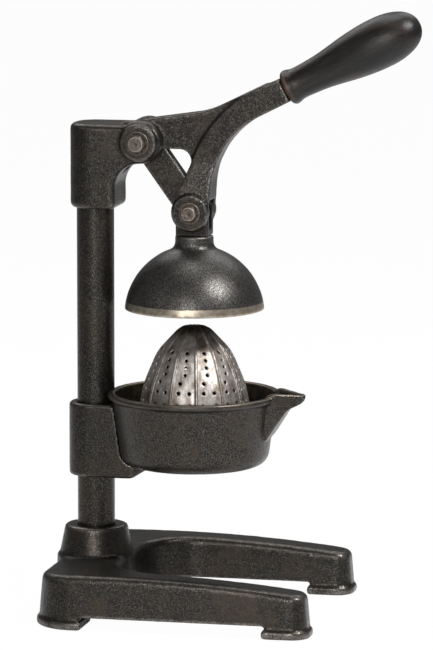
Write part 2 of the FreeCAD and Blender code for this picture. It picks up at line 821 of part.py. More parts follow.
def make_lever():
    made = body("lever_casting")
    limb = sketch(made, "XZ", "limb")
    limb_outline(limb)
    pad(made, limb, f"2 * ({FORK_OUTER})", both_sides=True)
    flare = sketch(made, "YZ", "flare")
    for side in ("", "-"):
        outline(
            flare,
            [
                (f"{side}limb_half", "grip_z + 80"),
                (f"{side}limb_half", "fork_flare_high", "30"),
                (f"{side}({FORK_OUTER})", "fork_flare_low", "30"),
                (f"{side}({FORK_OUTER})", "fork_flare_low - 20"),
                (f"{side}({FORK_OUTER} + 20)", "fork_flare_low - 20"),
                (f"{side}({FORK_OUTER} + 20)", "grip_z + 80"),
            ],
        )
    pocket(made, flare, "3 * grip_x", both_sides=True)
    web = sketch(made, "XZ", "web")
    outline(
        web,
        [
            ("pivot_x", "pivot_z + hub_radius"),
            ("web_sag_x", "web_sag_z", "60"),
            ("web_far_x", "web_far_z"),
            ("web_far_x + 4", "web_far_z - 8"),
            ("reach + limb_in_x", "lower_z + limb_out_z + 8"),
            ("reach + 7", "window_top - 14"),
            ("reach - 1", "window_top - 14"),
            ("reach - 1", "window_top", "window_round"),
            ("pivot_x", "window_top"),
        ],
    )
    pad(made, web, "2 * web_half", both_sides=True)
    hub = sketch(made, "XZ", "hub")
    circle(hub, "pivot_x", "pivot_z", "hub_radius")
    pad(made, hub, "2 * hub_half", both_sides=True)
    heel = sketch(made, "XZ", "heel")
    outline(
        heel,
        [
            ("slot_root + air_gap", "pivot_z - 14"),
            ("pivot_x - 5", "pivot_z - 15"),
            ("pivot_x - 5", "pivot_z - 5"),
            ("slot_root + air_gap", "pivot_z - 5"),
        ],
    )
    pad(made, heel, "2 * hub_half", both_sides=True)
    boss = sketch(made, "XZ", "fork_boss")
    circle(boss, "reach", "lower_z", "fork_boss_radius")
    pad(made, boss, f"2 * ({FORK_FACE})", both_sides=True)
    fork = sketch(made, "XZ", "fork_gap")
    circle(fork, "reach", "lower_z", "fork_end_radius + 1.2")
    pocket(made, fork, f"2 * ({FORK_INNER})", both_sides=True)
    slot = sketch(made, "XZ", "link_slot")
    stadium(slot, "pivot_x", "pivot_z", "reach", "lower_z", "link_width / 2 + 0.5")
    pocket(made, slot, "2 * (link_half + air_gap)", both_sides=True)
    bores = sketch(made, "XZ", "bores")
    circle(bores, "pivot_x", "pivot_z", "pivot_bush_radius + fixed_gap")
    circle(bores, "reach", "lower_z", "lower_radius + fixed_gap")
    pocket(made, bores, "6 * hub_half", both_sides=True)
    stud_hole = cylinder("stud_hole", "stud_radius + fixed_gap", "stud_in_lever + 5")
    place_on_grip_axis(stud_hole, "-stud_in_lever - 1")
    finish(cut("lever_arm", made, stud_hole), "lever_arm", AT_COLUMN)


def place_on_grip_axis(made, start, origin="0"):
    """Lay an upright piece along the grip, starting that far from its bead."""
    about_y = FreeCAD.Rotation(FreeCAD.Vector(0, 1, 0), 1)
    made.Placement = FreeCAD.Placement(FreeCAD.Vector(), about_y)
    made.setExpression("Placement.Rotation.Angle", bound("90 - grip_tilt"))
    made.setExpression("Placement.Base.x", bound(f"{origin} + grip_x + ({start}) * cos(grip_tilt)"))
    made.setExpression("Placement.Base.z", bound(f"grip_z + ({start}) * sin(grip_tilt)"))


def make_link():
    made = body("brace_link")
    bar = sketch(made, "XZ", "bar")
    stadium(bar, "pivot_x", "pivot_z", "reach", "lower_z", "link_width / 2")
    pad(made, bar, "2 * link_half", both_sides=True)
    bores = sketch(made, "XZ", "bores")
    circle(bores, "pivot_x", "pivot_z", "pivot_bush_radius + fixed_gap")
    circle(bores, "reach", "lower_z", "lower_radius + fixed_gap")
    pocket(made, bores, "4 * link_half", both_sides=True)
    finish(made, "brace_link", AT_COLUMN)


def make_grip():
    stud = cylinder("handle_stud", "stud_radius", "stud_in_lever + stud_in_grip")
    place_on_grip_axis(stud, "-stud_in_lever", "column_x")
    stud.Label = "handle_stud"
    PARTS.append(("handle_stud", stud))
    made = body("handle_grip")
    profile = sketch(made, "XZ", "profile")
    outline(
        profile,
        [
            ("stud_radius + run_gap", "0"),
            ("grip_bead_radius - 1.4", "0", "1"),
            ("grip_bead_radius + 0.3", "3.2", "3"),
            ("grip_neck_radius", "16", "30"),
            ("grip_neck_radius + 1.4", "34", "50"),
            ("grip_belly_radius + 1.2", "79", "60"),
            ("grip_belly_radius - 2.7", "grip_length", "14"),
            ("0", "grip_length"),
            ("0", "stud_in_grip + 1"),
            ("stud_radius + run_gap", "stud_in_grip + 1"),
        ],
    )
    turn(made, profile)
    place_on_grip_axis(made, "air_gap", "column_x")
    PARTS.append(("handle_grip", made))


# Dome


def make_dome():
    centre = "dome_rim_z - dome_drop"
    ball = sphere("dome_ball", "dome_radius", centre)
    hollow = sphere("dome_hollow", "hollow_radius", "dome_rim_z - hollow_drop")
    neck = cylinder("dome_neck", "neck_radius", f"neck_top - ({centre}) - 20", f"{centre} + 20")
    outside = joined("dome_outside", ball, neck)
    doc.recompute()
    blend = doc.addObject("Part::Fillet", "dome_blend")
    blend.Base = outside
    seam = []
    for i, edge in enumerate(outside.Shape.Edges, start=1):
        box = edge.BoundBox
        if box.ZLength < 0.01 and value("dome_rim_z") < box.ZMin < value("neck_top") - 2:
            seam.append((i, value("neck_round"), value("neck_round")))
    blend.Edges = seam
    shell = cut("dome_shell", blend, hollow)
    wide = "2 * dome_radius"
    below = cylinder("dome_below", wide, wide, f"dome_rim_z - {wide}")
    stem = cylinder(
        "dome_stem_hole",
        "yoke_stem_radius + fixed_gap",
        "yoke_stem_length + 0.5",
        "neck_top - yoke_stem_length - 0.3",
    )
    screw = cylinder("dome_screw_hole", "yoke_screw_radius + fixed_gap", "neck_radius + 1")
    screw.Placement = FreeCAD.Placement(FreeCAD.Vector(), TO_BACK)
    screw.setExpression("Placement.Base.z", bound("yoke_screw_z"))
    tools = joined("dome_cuts", below, stem, screw)
    finish(cut("press_dome", shell, tools), "press_dome", AT_PRESS)


def make_yoke():
    made = body("dome_yoke")
    inner, outer = "(link_half + air_gap)", "(link_half + air_gap + ear_thick)"
    side = sketch(made, "XZ", "side")
    rectangle(side, "-yoke_half_width", "yoke_half_width", "neck_top", "lower_z")
    pad(made, side, f"2 * {outer}", both_sides=True)
    tops = sketch(made, "XZ", "tops")
    circle(tops, "0", "lower_z", "fork_boss_radius - 0.6")
    pad(made, tops, f"2 * {outer}", both_sides=True)
    gap = sketch(made, "XY", "gap", "lower_z - link_width / 2 - yoke_floor_gap")
    beyond = "2 * yoke_half_width"
    rectangle(gap, f"-{beyond}", beyond, f"-{inner}", inner)
    pocket(made, gap, "2 * link_width", forwards=True)
    stem = sketch(made, "XY", "stem", "neck_top - yoke_stem_length")
    circle(stem, "0", "0", "yoke_stem_radius")
    pad(made, stem, "yoke_stem_length + 1")
    bore = sketch(made, "XZ", "bore")
    circle(bore, "0", "lower_z", "lower_bush_radius + fixed_gap")
    pocket(made, bore, "6 * ear_thick", both_sides=True)
    finish(made, "dome_yoke", AT_PRESS)

    both = []
    for word, start in (("near", f"-{outer}"), ("far", inner)):
        both.append(cylinder(f"bush_{word}", "lower_bush_radius", "ear_thick", start))
    hole = cylinder("bush_hole", "lower_radius + run_gap", f"3 * {outer}", f"-1.5 * {outer}")
    bushes = cut("dome_bushes", joined("bush_pair", *both), hole)
    finish(bushes, "dome_bushes", AT_PRESS, "0", "lower_z", TO_BACK)

    start = "yoke_stem_radius + fixed_gap"
    screw = cylinder("yoke_set_screw", "yoke_screw_radius", f"neck_radius - ({start}) - 0.6")
    finish(screw, "yoke_set_screw", AT_PRESS, start, "yoke_screw_z", TO_BACK)


# Bowl carrier, drawn about the press axis


def make_bracket():
    made = body("bowl_bracket")
    side = sketch(made, "XZ", "side")
    left = "-reach - collar_left"
    step = "(collar_right - reach)"
    outline(
        side,
        [
            (left, "collar_bottom"),
            (f"{step} - 4", "collar_bottom", "8"),
            (f"{step} + 6", "arm_bottom", "8"),
            ("arm_half", "arm_bottom"),
            ("arm_half", "bowl_bottom + 1"),
            (f"{step} + 8", "bowl_bottom + 1"),
            (f"{step} + 8", "collar_top"),
            (left, "collar_top"),
        ],
    )
    pad(made, side, "2 * collar_half", both_sides=True)
    plan = sketch(made, "XY", "plan")
    beyond = "3 * collar_half"
    rectangle(plan, f"-reach - {beyond}", beyond, f"-{beyond}", beyond)
    outline(
        plan,
        [
            (left, "-collar_half", "collar_end_round"),
            (f"{step} - 3", "-collar_half", "5"),
            (f"{step} + 6", "-arm_half", "5"),
            ("arm_half", "-arm_half", "arm_half - 0.2"),
            ("arm_half", "arm_half", "arm_half - 0.2"),
            (f"{step} + 6", "arm_half", "5"),
            (f"{step} - 3", "collar_half", "5"),
            (left, "collar_half", "collar_end_round"),
        ],
    )
    trimmed = pocket(made, plan, "4 * collar_top", both_sides=True)
    ends = (value("collar_top"), value("collar_bottom"))
    collar_end = value(f"{step} + 3")

    def rim(edge):
        return any(flat_at(edge, height) for height in ends) and edge.BoundBox.XMax < collar_end

    round_edges(made, trimmed, "edges", "2.5", rim)
    nest = sketch(made, "XZ", "nest")
    outline(
        nest,
        [
            ("0", "bowl_bottom - air_gap"),
            ("bowl_foot_radius + air_gap", "bowl_bottom - air_gap", "bowl_round + air_gap"),
            ("bowl_wall_radius + air_gap", "lip_bottom - air_gap"),
            ("rim_radius + air_gap", "lip_bottom + 1"),
            ("rim_radius + air_gap", "rim_z + 30"),
            ("0", "rim_z + 30"),
        ],
    )
    turn(made, nest, "PartDesign::Groove")
    bore = sketch(made, "XY", "bore")
    circle(bore, "-reach", "0", "column_radius + run_gap")
    circle(bore, "0", "0", "peg_radius + air_gap")
    pocket(made, bore, "collar_top + 5", forwards=True)
    relief = sketch(made, "XY", "relief", "relief_z")
    rectangle(relief, "-reach + 8", "-reach + 30", "-relief_half", "relief_half")
    pocket(made, relief, "collar_top - relief_z + 5", forwards=True)
    screw = sketch(made, "XZ", "screw_hole")
    circle(screw, "-reach", "clamp_z", "clamp_radius + run_gap")
    pocket(made, screw, "collar_half + 5")
    finish(made, "bowl_bracket", AT_PRESS)


def make_clamp_screw():
    start = "column_radius + air_gap"
    length = f"(collar_half + 2.5 - {start})"
    shank = cylinder("clamp_shank", "clamp_radius", length)
    cap = hexagon("clamp_cap", "clamp_hex", "clamp_head", length)
    screw = joined("clamp_screw", shank, cap)
    finish(screw, "clamp_screw", AT_COLUMN, start, "clamp_z", TO_BACK)


def make_bowl():
    made = body("juice_bowl")
    profile = sketch(made, "XZ", "outside")
    outline(
        profile,
        [
            ("0", "bowl_bottom"),
            ("bowl_foot_radius", "bowl_bottom", "bowl_round"),
            ("bowl_wall_radius", "lip_bottom"),
            ("rim_radius", "lip_bottom + 1.6"),
            ("rim_radius", "rim_z", "rim_round"),
            ("0", "rim_z"),
        ],
    )
    turn(made, profile)
    spout = sketch(made, "XZ", "spout")
    outline(
        spout,
        [
            ("bowl_mouth - 5", "rim_z"),
            ("bowl_mouth - 5", "spout_root_z + 8"),
            ("bowl_foot_radius + 3.2", "spout_root_z - 3"),
            ("spout_tip - 14", "spout_root_z + 21.5", "10"),
            ("spout_tip - 3.2", "lip_bottom", "5"),
            ("spout_tip", "rim_z + 0.6", "2"),
            ("rim_radius - 3", "spout_crest", "4"),
        ],
    )
    pad(made, spout, "2 * spout_half", both_sides=True)
    sides = sketch(made, "XY", "spout_sides")
    for side in ("", "-"):
        outline(
            sides,
            [
                ("rim_radius", f"{side}spout_half"),
                ("spout_tip - 4", f"{side}spout_tip_half", "6"),
                ("spout_tip + 5", f"{side}(spout_tip_half - 1)"),
                ("spout_tip + 5", f"{side}(spout_half + 5)"),
                ("rim_radius", f"{side}(spout_half + 5)"),
            ],
        )
    pocket(made, sides, "rim_z + 30", forwards=True)
    low_bore = "bowl_high_bore - ledge_width"
    cavity = sketch(made, "XZ", "cavity")
    outline(
        cavity,
        [
            ("0", "bowl_floor"),
            (f"{low_bore} - 2", "bowl_floor", "8"),
            (low_bore, "bowl_ledge"),
            ("bowl_high_bore", "bowl_ledge"),
            ("bowl_mouth", "rim_z"),
            ("bowl_mouth", "spout_crest + 20"),
            ("0", "spout_crest + 20"),
        ],
    )
    turn(made, cavity, "PartDesign::Groove")
    channel = sketch(made, "XY", "channel", "channel_floor")
    outline(
        channel,
        [
            ("50", "-channel_half"),
            ("rim_radius - 2", "-channel_half", "6"),
            ("spout_tip - 6", "-channel_tip_half", "6"),
            ("spout_tip + 9", "-channel_tip_half + 0.4"),
            ("spout_tip + 9", "channel_tip_half - 0.4"),
            ("spout_tip - 6", "channel_tip_half", "6"),
            ("rim_radius - 2", "channel_half", "6"),
            ("50", "channel_half"),
        ],
    )
    pocket(made, channel, "20", forwards=True)
    scallop = sketch(made, "XY", "scallop", "bowl_ledge")
    circle(scallop, "-reach", "0", "column_radius + air_gap")
    pocket(made, scallop, "60", forwards=True)
    hole = sketch(made, "XY", "peg_hole")
    circle(hole, "0", "0", "peg_radius + fixed_gap")
    pocket(made, hole, "bowl_floor + 1", forwards=True)
    finish(made, "juice_bowl", AT_PRESS)
    peg = cylinder("bowl_peg", "peg_radius", "bowl_floor - arm_bottom - 0.5")
    finish(peg, "bowl_peg", AT_PRESS, "0", "arm_bottom + 0.3")


def cone_line(out, up, crown_round):
    """The cone's outer line, tip first, moved out and up."""
    return [
        (f"cone_crown_out + ({out}) * 0.5", f"cone_tip + ({up})", crown_round),
        (
            f"cone_shoulder_out + ({out}) * 0.8",
            f"cone_tip - cone_shoulder_down + ({out}) * 0.45",
            "cone_shoulder_round",
        ),
        (f"cone_waist_out + ({out})", "cone_tip - cone_waist_down", "cone_waist_round"),
    ]


def cone_shell(made, flange_top, flange_radius):
    """The thin cone and the strainer flange that it stands on."""
    inner = cone_line("-cone_wall", "-cone_wall", "cone_crown_round - cone_wall")
    shell = sketch(made, "XZ", "shell")
    outline(
        shell,
        [("0", "cone_tip")]
        + cone_line("0", "0", "cone_crown_round")
        + [
            ("cone_foot", flange_top),
            (flange_radius, flange_top),
            (flange_radius, "bowl_ledge + air_gap"),
            ("cone_foot - cone_wall", "bowl_ledge + air_gap"),
        ]
        + inner[::-1]
        + [("0", "cone_tip - cone_wall")],
    )
    turn(made, shell)


def cone_ridges(made, flange_top):
    inner = cone_line("-ridge_root", "-ridge_root", "ridge_crown_round")
    ridge = sketch(made, "XZ", "ridge")
    outline(
        ridge,
        [("ridge_start", "cone_tip + 0.1")]
        + cone_line("ridge_rise", "0.1", "ridge_crown_round")
        + [("cone_foot + ridge_rise", flange_top), ("cone_foot - 1", flange_top)]
        + inner[::-1]
        + [("ridge_start", "cone_tip - ridge_root")],
    )
    fin = pad(made, ridge, "ridge_width", both_sides=True)
    ring_pattern(made, fin, "ridge_count")


def cone_holes(made, half_panel):
    """Four small holes down the middle of each panel, then one, two and two."""
    holes = sketch(made, "YZ", "holes")
    turned = FreeCAD.Rotation(FreeCAD.Vector(0, 1, 0), half_panel)
    holes.AttachmentOffset = FreeCAD.Placement(FreeCAD.Vector(), turned)
    for row in range(4):
        depth = f"hole_column_down + {row} * hole_pitch"
        circle(holes, "0", f"cone_tip - ({depth})", "small_hole_radius")
    circle(holes, "-lone_hole_across", "cone_tip - lone_hole_down", "cone_hole_radius")
    for pair in ("pair", "low_pair"):
        for side in ("-", ""):
            circle(holes, f"{side}{pair}_across", f"cone_tip - {pair}_down", "cone_hole_radius")
    drilled = pocket(made, holes, "cone_foot + 4", forwards=True)
    ring_pattern(made, drilled, "ridge_count")


def make_cone():
    made = body("reamer_cone")
    flange_top = "bowl_ledge + air_gap + flange_thick"
    flange_radius = "bowl_high_bore - flange_gap"
    half_panel = 180 / value("ridge_count")
    cone_shell(made, flange_top, flange_radius)
    cone_ridges(made, flange_top)
    cone_holes(made, half_panel)
    drain = sketch(made, "XY", "drain", "bowl_ledge")
    circle(drain, f"{flange_radius} - drain_inset", "0", "drain_radius")
    drained = pocket(made, drain, "6", forwards=True)
    ring_pattern(made, drained, "ridge_count")
    turned = FreeCAD.Rotation(FreeCAD.Vector(0, 0, 1), half_panel)
    finish(made, "reamer_cone", AT_PRESS, turned=turned)


def check_and_write():
    doc.recompute()
    for item in doc.Objects:
        if "Invalid" in item.State or "Error" in item.State:
            raise RuntimeError(f"{item.Name} did not build: {item.State}")
    os.makedirs("parts", exist_ok=True)
    whole = FreeCAD.BoundBox()
    for name, made in PARTS:
        shape = made.Shape
        if shape.isNull() or not shape.isValid():
            raise RuntimeError(f"{name} is null or not valid")
        whole.add(shape.BoundBox)
        print(f"{name}: {len(shape.Solids)} solid, {shape.Volume / 1000:.2f} cm3")
    for name, made in PARTS:
        made.Shape.exportStep(f"parts/{name}.step")
    print(f"{len(PARTS)} sub-parts")
    for axis in "XYZ":
        low = getattr(whole, axis + "Min")
        high = getattr(whole, axis + "Max")
        print(f"{axis} {low:.2f} to {high:.2f}")


make_base()
make_column()
make_foot_bolt()
make_head()
make_head_screw()
make_pivots()
make_lever()
make_link()
make_grip()
make_dome()
make_yoke()
make_bracket()
make_clamp_screw()
make_bowl()
make_cone()
check_and_write()
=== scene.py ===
# %% [markdown]
# # Lever citrus juice press
# The press is a black cast-iron stand with a lever, a dome that comes down
# on a fluted cone, and a bowl with a spout. Its shapes and joints come from
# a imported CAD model. This lesson gives it the skin that CAD leaves out: the
# soft corners and grain of a sand casting, wear, patina and a dark wooden grip.

import math

import bmesh
import bpy
import numpy as np
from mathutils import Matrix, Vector, noise


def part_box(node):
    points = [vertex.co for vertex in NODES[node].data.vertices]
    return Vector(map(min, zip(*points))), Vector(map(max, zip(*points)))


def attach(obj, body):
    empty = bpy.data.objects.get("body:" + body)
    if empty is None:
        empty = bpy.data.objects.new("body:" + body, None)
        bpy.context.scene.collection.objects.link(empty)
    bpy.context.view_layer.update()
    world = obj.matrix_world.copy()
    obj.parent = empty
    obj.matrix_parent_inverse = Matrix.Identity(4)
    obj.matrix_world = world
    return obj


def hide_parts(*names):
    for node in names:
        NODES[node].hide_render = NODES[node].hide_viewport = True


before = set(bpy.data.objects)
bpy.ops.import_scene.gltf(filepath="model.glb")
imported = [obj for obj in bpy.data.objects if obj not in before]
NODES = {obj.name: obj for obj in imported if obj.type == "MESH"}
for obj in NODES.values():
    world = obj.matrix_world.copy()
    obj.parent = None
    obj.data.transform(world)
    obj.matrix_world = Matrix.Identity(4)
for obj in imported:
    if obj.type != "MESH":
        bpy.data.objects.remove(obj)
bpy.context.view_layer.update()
print("CAD nodes:", len(NODES))

# %% [markdown]
# ## Where things are
# Every length is in metres. The column and the press stand on two upright
# axes, and the lever turns about two pivots. The places are read from the
# CAD nodes' own boxes, so that nothing here can drift away from the model.

# %% Axes and pivots
MM = 0.001


def middle_of(node):
    low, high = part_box(node)
    return (low + high) / 2


COLUMN = middle_of("column")
PRESS = middle_of("bowl_peg")
UPPER_PIVOT = middle_of("pivot_front_washer")
LOWER_PIVOT = middle_of("lower_front_washer")
DOME_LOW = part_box("press_dome")[0].z
CONE_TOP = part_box("reamer_cone")[1].z
print("column x, press x:", round(COLUMN.x, 4), round(PRESS.x, 4))
print("upper and lower pivot z:", round(UPPER_PIVOT.z, 4), round(LOWER_PIVOT.z, 4))

# %% [markdown]
# ## The camera
# A long lens far away keeps the upright lines parallel, as in the picture of
# the real press. It stands a little to the right of the front and looks
# slightly down. The small shift only frames the press on the tall page.

# %% Camera
CAMERA_TURN = math.radians(12.57)
CAMERA_PITCH = math.radians(8.41)
CAMERA_AWAY = 4.165
AIM = Vector((-0.0171, 0, 0.252))
LENS_MM = 288.4
PAGE_SHIFT = (-0.001, -0.0384)
FARTHEST_SEEN = 50

camera_data = bpy.data.cameras.new("camera")
camera_data.lens = LENS_MM
camera_data.shift_x, camera_data.shift_y = PAGE_SHIFT
camera_data.clip_end = FARTHEST_SEEN
camera = bpy.data.objects.new("camera", camera_data)
bpy.context.scene.collection.objects.link(camera)
back = Vector(
    (
        math.sin(CAMERA_TURN) * math.cos(CAMERA_PITCH),
        -math.cos(CAMERA_TURN) * math.cos(CAMERA_PITCH),
        math.sin(CAMERA_PITCH),
    )
)
camera.location = AIM + back * CAMERA_AWAY
camera.rotation_euler = (-back).to_track_quat("-Z", "Y").to_euler()
bpy.context.scene.camera = camera
print("camera at:", [round(v, 3) for v in camera.location])

# %% [markdown]
# ## Floor, background and soft light
# The picture has a plain white ground. The floor is a pale sheet that keeps
# the soft shadow under the feet. Six lamps light the press: a small bright
# one from the right, a broad one from the front, a weak one from the left,
# one from above, and two from behind that draw the edges. Shiny metal sees
# a dark room round it, because that is what makes black iron look black.

# %% Floor and background
BACKGROUND_GREY = 0.055
SEEN_IN_METAL = 0.12
PAPER_GREY = 0.88
PAPER_ROUGH = 0.9
PAPER_GLOW = 0.975
FLOOR_HALF = 12.0
FLOOR_GAP = 0.0002


def grey(level):
    return (level, level, level, 1)


def seen_directly(tree):
    """1 for rays from the camera or through glass, a little for those off metal."""
    path = tree.nodes.new("ShaderNodeLightPath")
    first = tree.nodes.new("ShaderNodeMath")
    first.operation = "MAXIMUM"
    tree.links.new(path.outputs["Is Camera Ray"], first.inputs[0])
    tree.links.new(path.outputs["Is Transmission Ray"], first.inputs[1])
    glossy = tree.nodes.new("ShaderNodeMath")
    glossy.operation = "MULTIPLY"
    glossy.inputs[1].default_value = SEEN_IN_METAL
    tree.links.new(path.outputs["Is Glossy Ray"], glossy.inputs[0])
    both = tree.nodes.new("ShaderNodeMath")
    both.operation = "MAXIMUM"
    tree.links.new(first.outputs[0], both.inputs[0])
    tree.links.new(glossy.outputs[0], both.inputs[1])
    return both.outputs[0]


world = bpy.data.worlds.new("studio")
bpy.context.scene.world = world
world.use_nodes = True
sky = world.node_tree
shade = sky.nodes["Background"]
tone = sky.nodes.new("ShaderNodeMix")
tone.data_type = "RGBA"
tone.inputs[6].default_value = grey(BACKGROUND_GREY)
tone.inputs[7].default_value = grey(1)
sky.links.new(seen_directly(sky), tone.inputs[0])
sky.links.new(tone.outputs[2], shade.inputs["Color"])

sheet_mesh = bpy.data.meshes.new("floor")
shape = bmesh.new()
bmesh.ops.create_grid(shape, x_segments=2, y_segments=2, size=FLOOR_HALF)
shape.to_mesh(sheet_mesh)
shape.free()
floor = bpy.data.objects.new("floor", sheet_mesh)
floor.location.z = -FLOOR_GAP
bpy.context.scene.collection.objects.link(floor)
paper = bpy.data.materials.new("pale_paper")
paper.use_nodes = True
tree = paper.node_tree
surface = tree.nodes["Principled BSDF"]
surface.inputs["Base Color"].default_value = grey(PAPER_GREY)
surface.inputs["Roughness"].default_value = PAPER_ROUGH
glow = tree.nodes.new("ShaderNodeEmission")
mixed = tree.nodes.new("ShaderNodeMixShader")
share = tree.nodes.new("ShaderNodeMath")
share.operation = "MULTIPLY"
share.inputs[1].default_value = PAPER_GLOW
tree.links.new(seen_directly(tree), share.inputs[0])
tree.links.new(share.outputs[0], mixed.inputs[0])
tree.links.new(surface.outputs[0], mixed.inputs[1])
tree.links.new(glow.outputs[0], mixed.inputs[2])
tree.links.new(mixed.outputs[0], tree.nodes["Material Output"].inputs["Surface"])
sheet_mesh.materials.append(paper)
print("floor ready")

# %% Lamps
bpy.context.scene.view_settings.view_transform = "Standard"
LAMP_COLOUR = (0.975, 0.985, 1.0)
# Turn from the camera and rise in degrees, distance and size in metres, watts
LAMPS = {
    "key_lamp": (54, 44, 1.9, 0.42, 46),
    "front_lamp": (-11, 14, 2.2, 0.8, 27),
    "side_lamp": (-62, 25, 2.0, 0.8, 2),
    "top_lamp": (20, 98, 1.8, 0.9, 15),
    "rear_right_lamp": (150, 48, 1.9, 1.0, 9),
    "rear_left_lamp": (-150, 48, 1.9, 1.0, 10),
}


def soft_lamp(name, turn, rise, away, size, power):
    """A square lamp at an angle to the right of the camera, aimed at the press."""
    data = bpy.data.lights.new(name, "AREA")
    data.size = size
    data.energy = power
    data.color = LAMP_COLOUR
    lamp = bpy.data.objects.new(name, data)
    side = CAMERA_TURN + math.radians(turn)
    tilt = math.radians(rise)
    level = math.cos(tilt)
    way = Vector((math.sin(side) * level, -math.cos(side) * level, math.sin(tilt)))
    lamp.location = AIM + way * away
    lamp.rotation_euler = (-way).to_track_quat("-Z", "Y").to_euler()
    bpy.context.scene.collection.objects.link(lamp)


for name, (turn, rise, away, size, power) in LAMPS.items():
    soft_lamp(name, turn, rise, away, size, power)
print("lamps ready:", len(LAMPS))

# %% [markdown]
# ## Building blocks for materials
# Each finish is a small network of nodes. One class keeps them readable:
# "grain" makes noise of a real size in millimetres, "step" turns a number
# into a soft step, "mix" mixes two colours, "height" adds relief, and
# "painted" reads a number that the mesh carries. The patterns use object
# coordinates, so they stay on the iron when the lever moves.

# %% Material helpers


class Finish:
    """A material under construction, with short names for the usual nodes."""

    def __init__(self, name):
        self.material = bpy.data.materials.new(name)
        self.material.use_nodes = True
        self.tree = self.material.node_tree
        self.shader = self.tree.nodes["Principled BSDF"]
        self.place = self.tree.nodes.new("ShaderNodeTexCoord").outputs["Object"]

    def plug(self, source, socket):
        """Link a node's output, or set a plain number."""
        if isinstance(source, (int, float)):
            socket.default_value = source
        elif isinstance(source, tuple):
            socket.default_value = (*source, 1)
        else:
            self.tree.links.new(source, socket)

    def grain(self, size_mm, detail, rough, stretch=None):
        """Noise whose lumps are about size_mm across."""
        texture = self.tree.nodes.new("ShaderNodeTexNoise")
        texture.inputs["Scale"].default_value = 1 / (size_mm * MM)
        texture.inputs["Detail"].default_value = detail
        texture.inputs["Roughness"].default_value = rough
        place = self.place
        if stretch is not None:
            squeeze = self.tree.nodes.new("ShaderNodeMapping")
            squeeze.inputs["Scale"].default_value = stretch
            self.tree.links.new(place, squeeze.inputs["Vector"])
            place = squeeze.outputs[0]
        self.tree.links.new(place, texture.inputs["Vector"])
        return texture.outputs["Fac"]

    def painted(self, name):
        """A number that the mesh carries at each point."""
        node = self.tree.nodes.new("ShaderNodeAttribute")
        node.attribute_name = name
        return node.outputs["Fac"]

    def sums(self, kind, first, second):
        """Two numbers joined by the named kind of arithmetic."""
        node = self.tree.nodes.new("ShaderNodeMath")
        node.operation = kind
        self.plug(first, node.inputs[0])
        self.plug(second, node.inputs[1])
        return node.outputs[0]

    def step(self, source, low, high, bottom=0.0, top=1.0):
        """0 below low and 1 above high, smooth between, then to bottom and top."""
        node = self.tree.nodes.new("ShaderNodeMapRange")
        node.interpolation_type = "SMOOTHSTEP"
        self.plug(source, node.inputs["Value"])
        node.inputs["From Min"].default_value = low
        node.inputs["From Max"].default_value = high
        node.inputs["To Min"].default_value = bottom
        node.inputs["To Max"].default_value = top
        return node.outputs[0]

    def mix(self, amount, first, second):
        """The first colour where amount is 0, the second where it is 1."""
        node = self.tree.nodes.new("ShaderNodeMix")
        node.data_type = "RGBA"
        self.plug(amount, node.inputs[0])
        self.plug(first, node.inputs[6])
        self.plug(second, node.inputs[7])
        return node.outputs[2]

    def height(self, source, depth_mm, strength, under=None):
        """Small relief of depth_mm, over an earlier one."""
        node = self.tree.nodes.new("ShaderNodeBump")
        node.inputs["Strength"].default_value = strength
        node.inputs["Distance"].default_value = depth_mm * MM
        self.tree.links.new(source, node.inputs["Height"])
        if under is not None:
            self.tree.links.new(under, node.inputs["Normal"])
        return node.outputs[0]

    def finish(self, colour, rough, metal, relief, specular=0.5):
        """Plug everything into the shader and hand the material over."""
        self.plug(colour, self.shader.inputs["Base Color"])
        self.plug(rough, self.shader.inputs["Roughness"])
        self.plug(metal, self.shader.inputs["Metallic"])
        self.shader.inputs["Specular IOR Level"].default_value = specular
        self.tree.links.new(relief, self.shader.inputs["Normal"])
        return self.material


print("material helpers ready")

# %% [markdown]
# ## Blackened cast iron
# Sand leaves a fine, even grain in the iron, and the black finish wears off
# where hands and cloths rub: on edges and raised rings. Brown shows through
# in patches on the flat tops. The mesh carries two numbers for this, "worn"
# on outer corners and "painted_shade" in inner ones, where the colour is
# darkened as painted shade. The grain itself is bump, because its pits are a
# tenth of a millimetre.

# %% Cast iron
IRON_BLACK = (0.0100, 0.0085, 0.0068)
IRON_GREY = (0.066, 0.060, 0.053)
IRON_BROWN = (0.040, 0.030, 0.022)
IRON_WORN = (0.20, 0.182, 0.162)
# Colour of the painted shade in inner corners
IRON_CORNER_SHADE = (0.006, 0.005, 0.004)


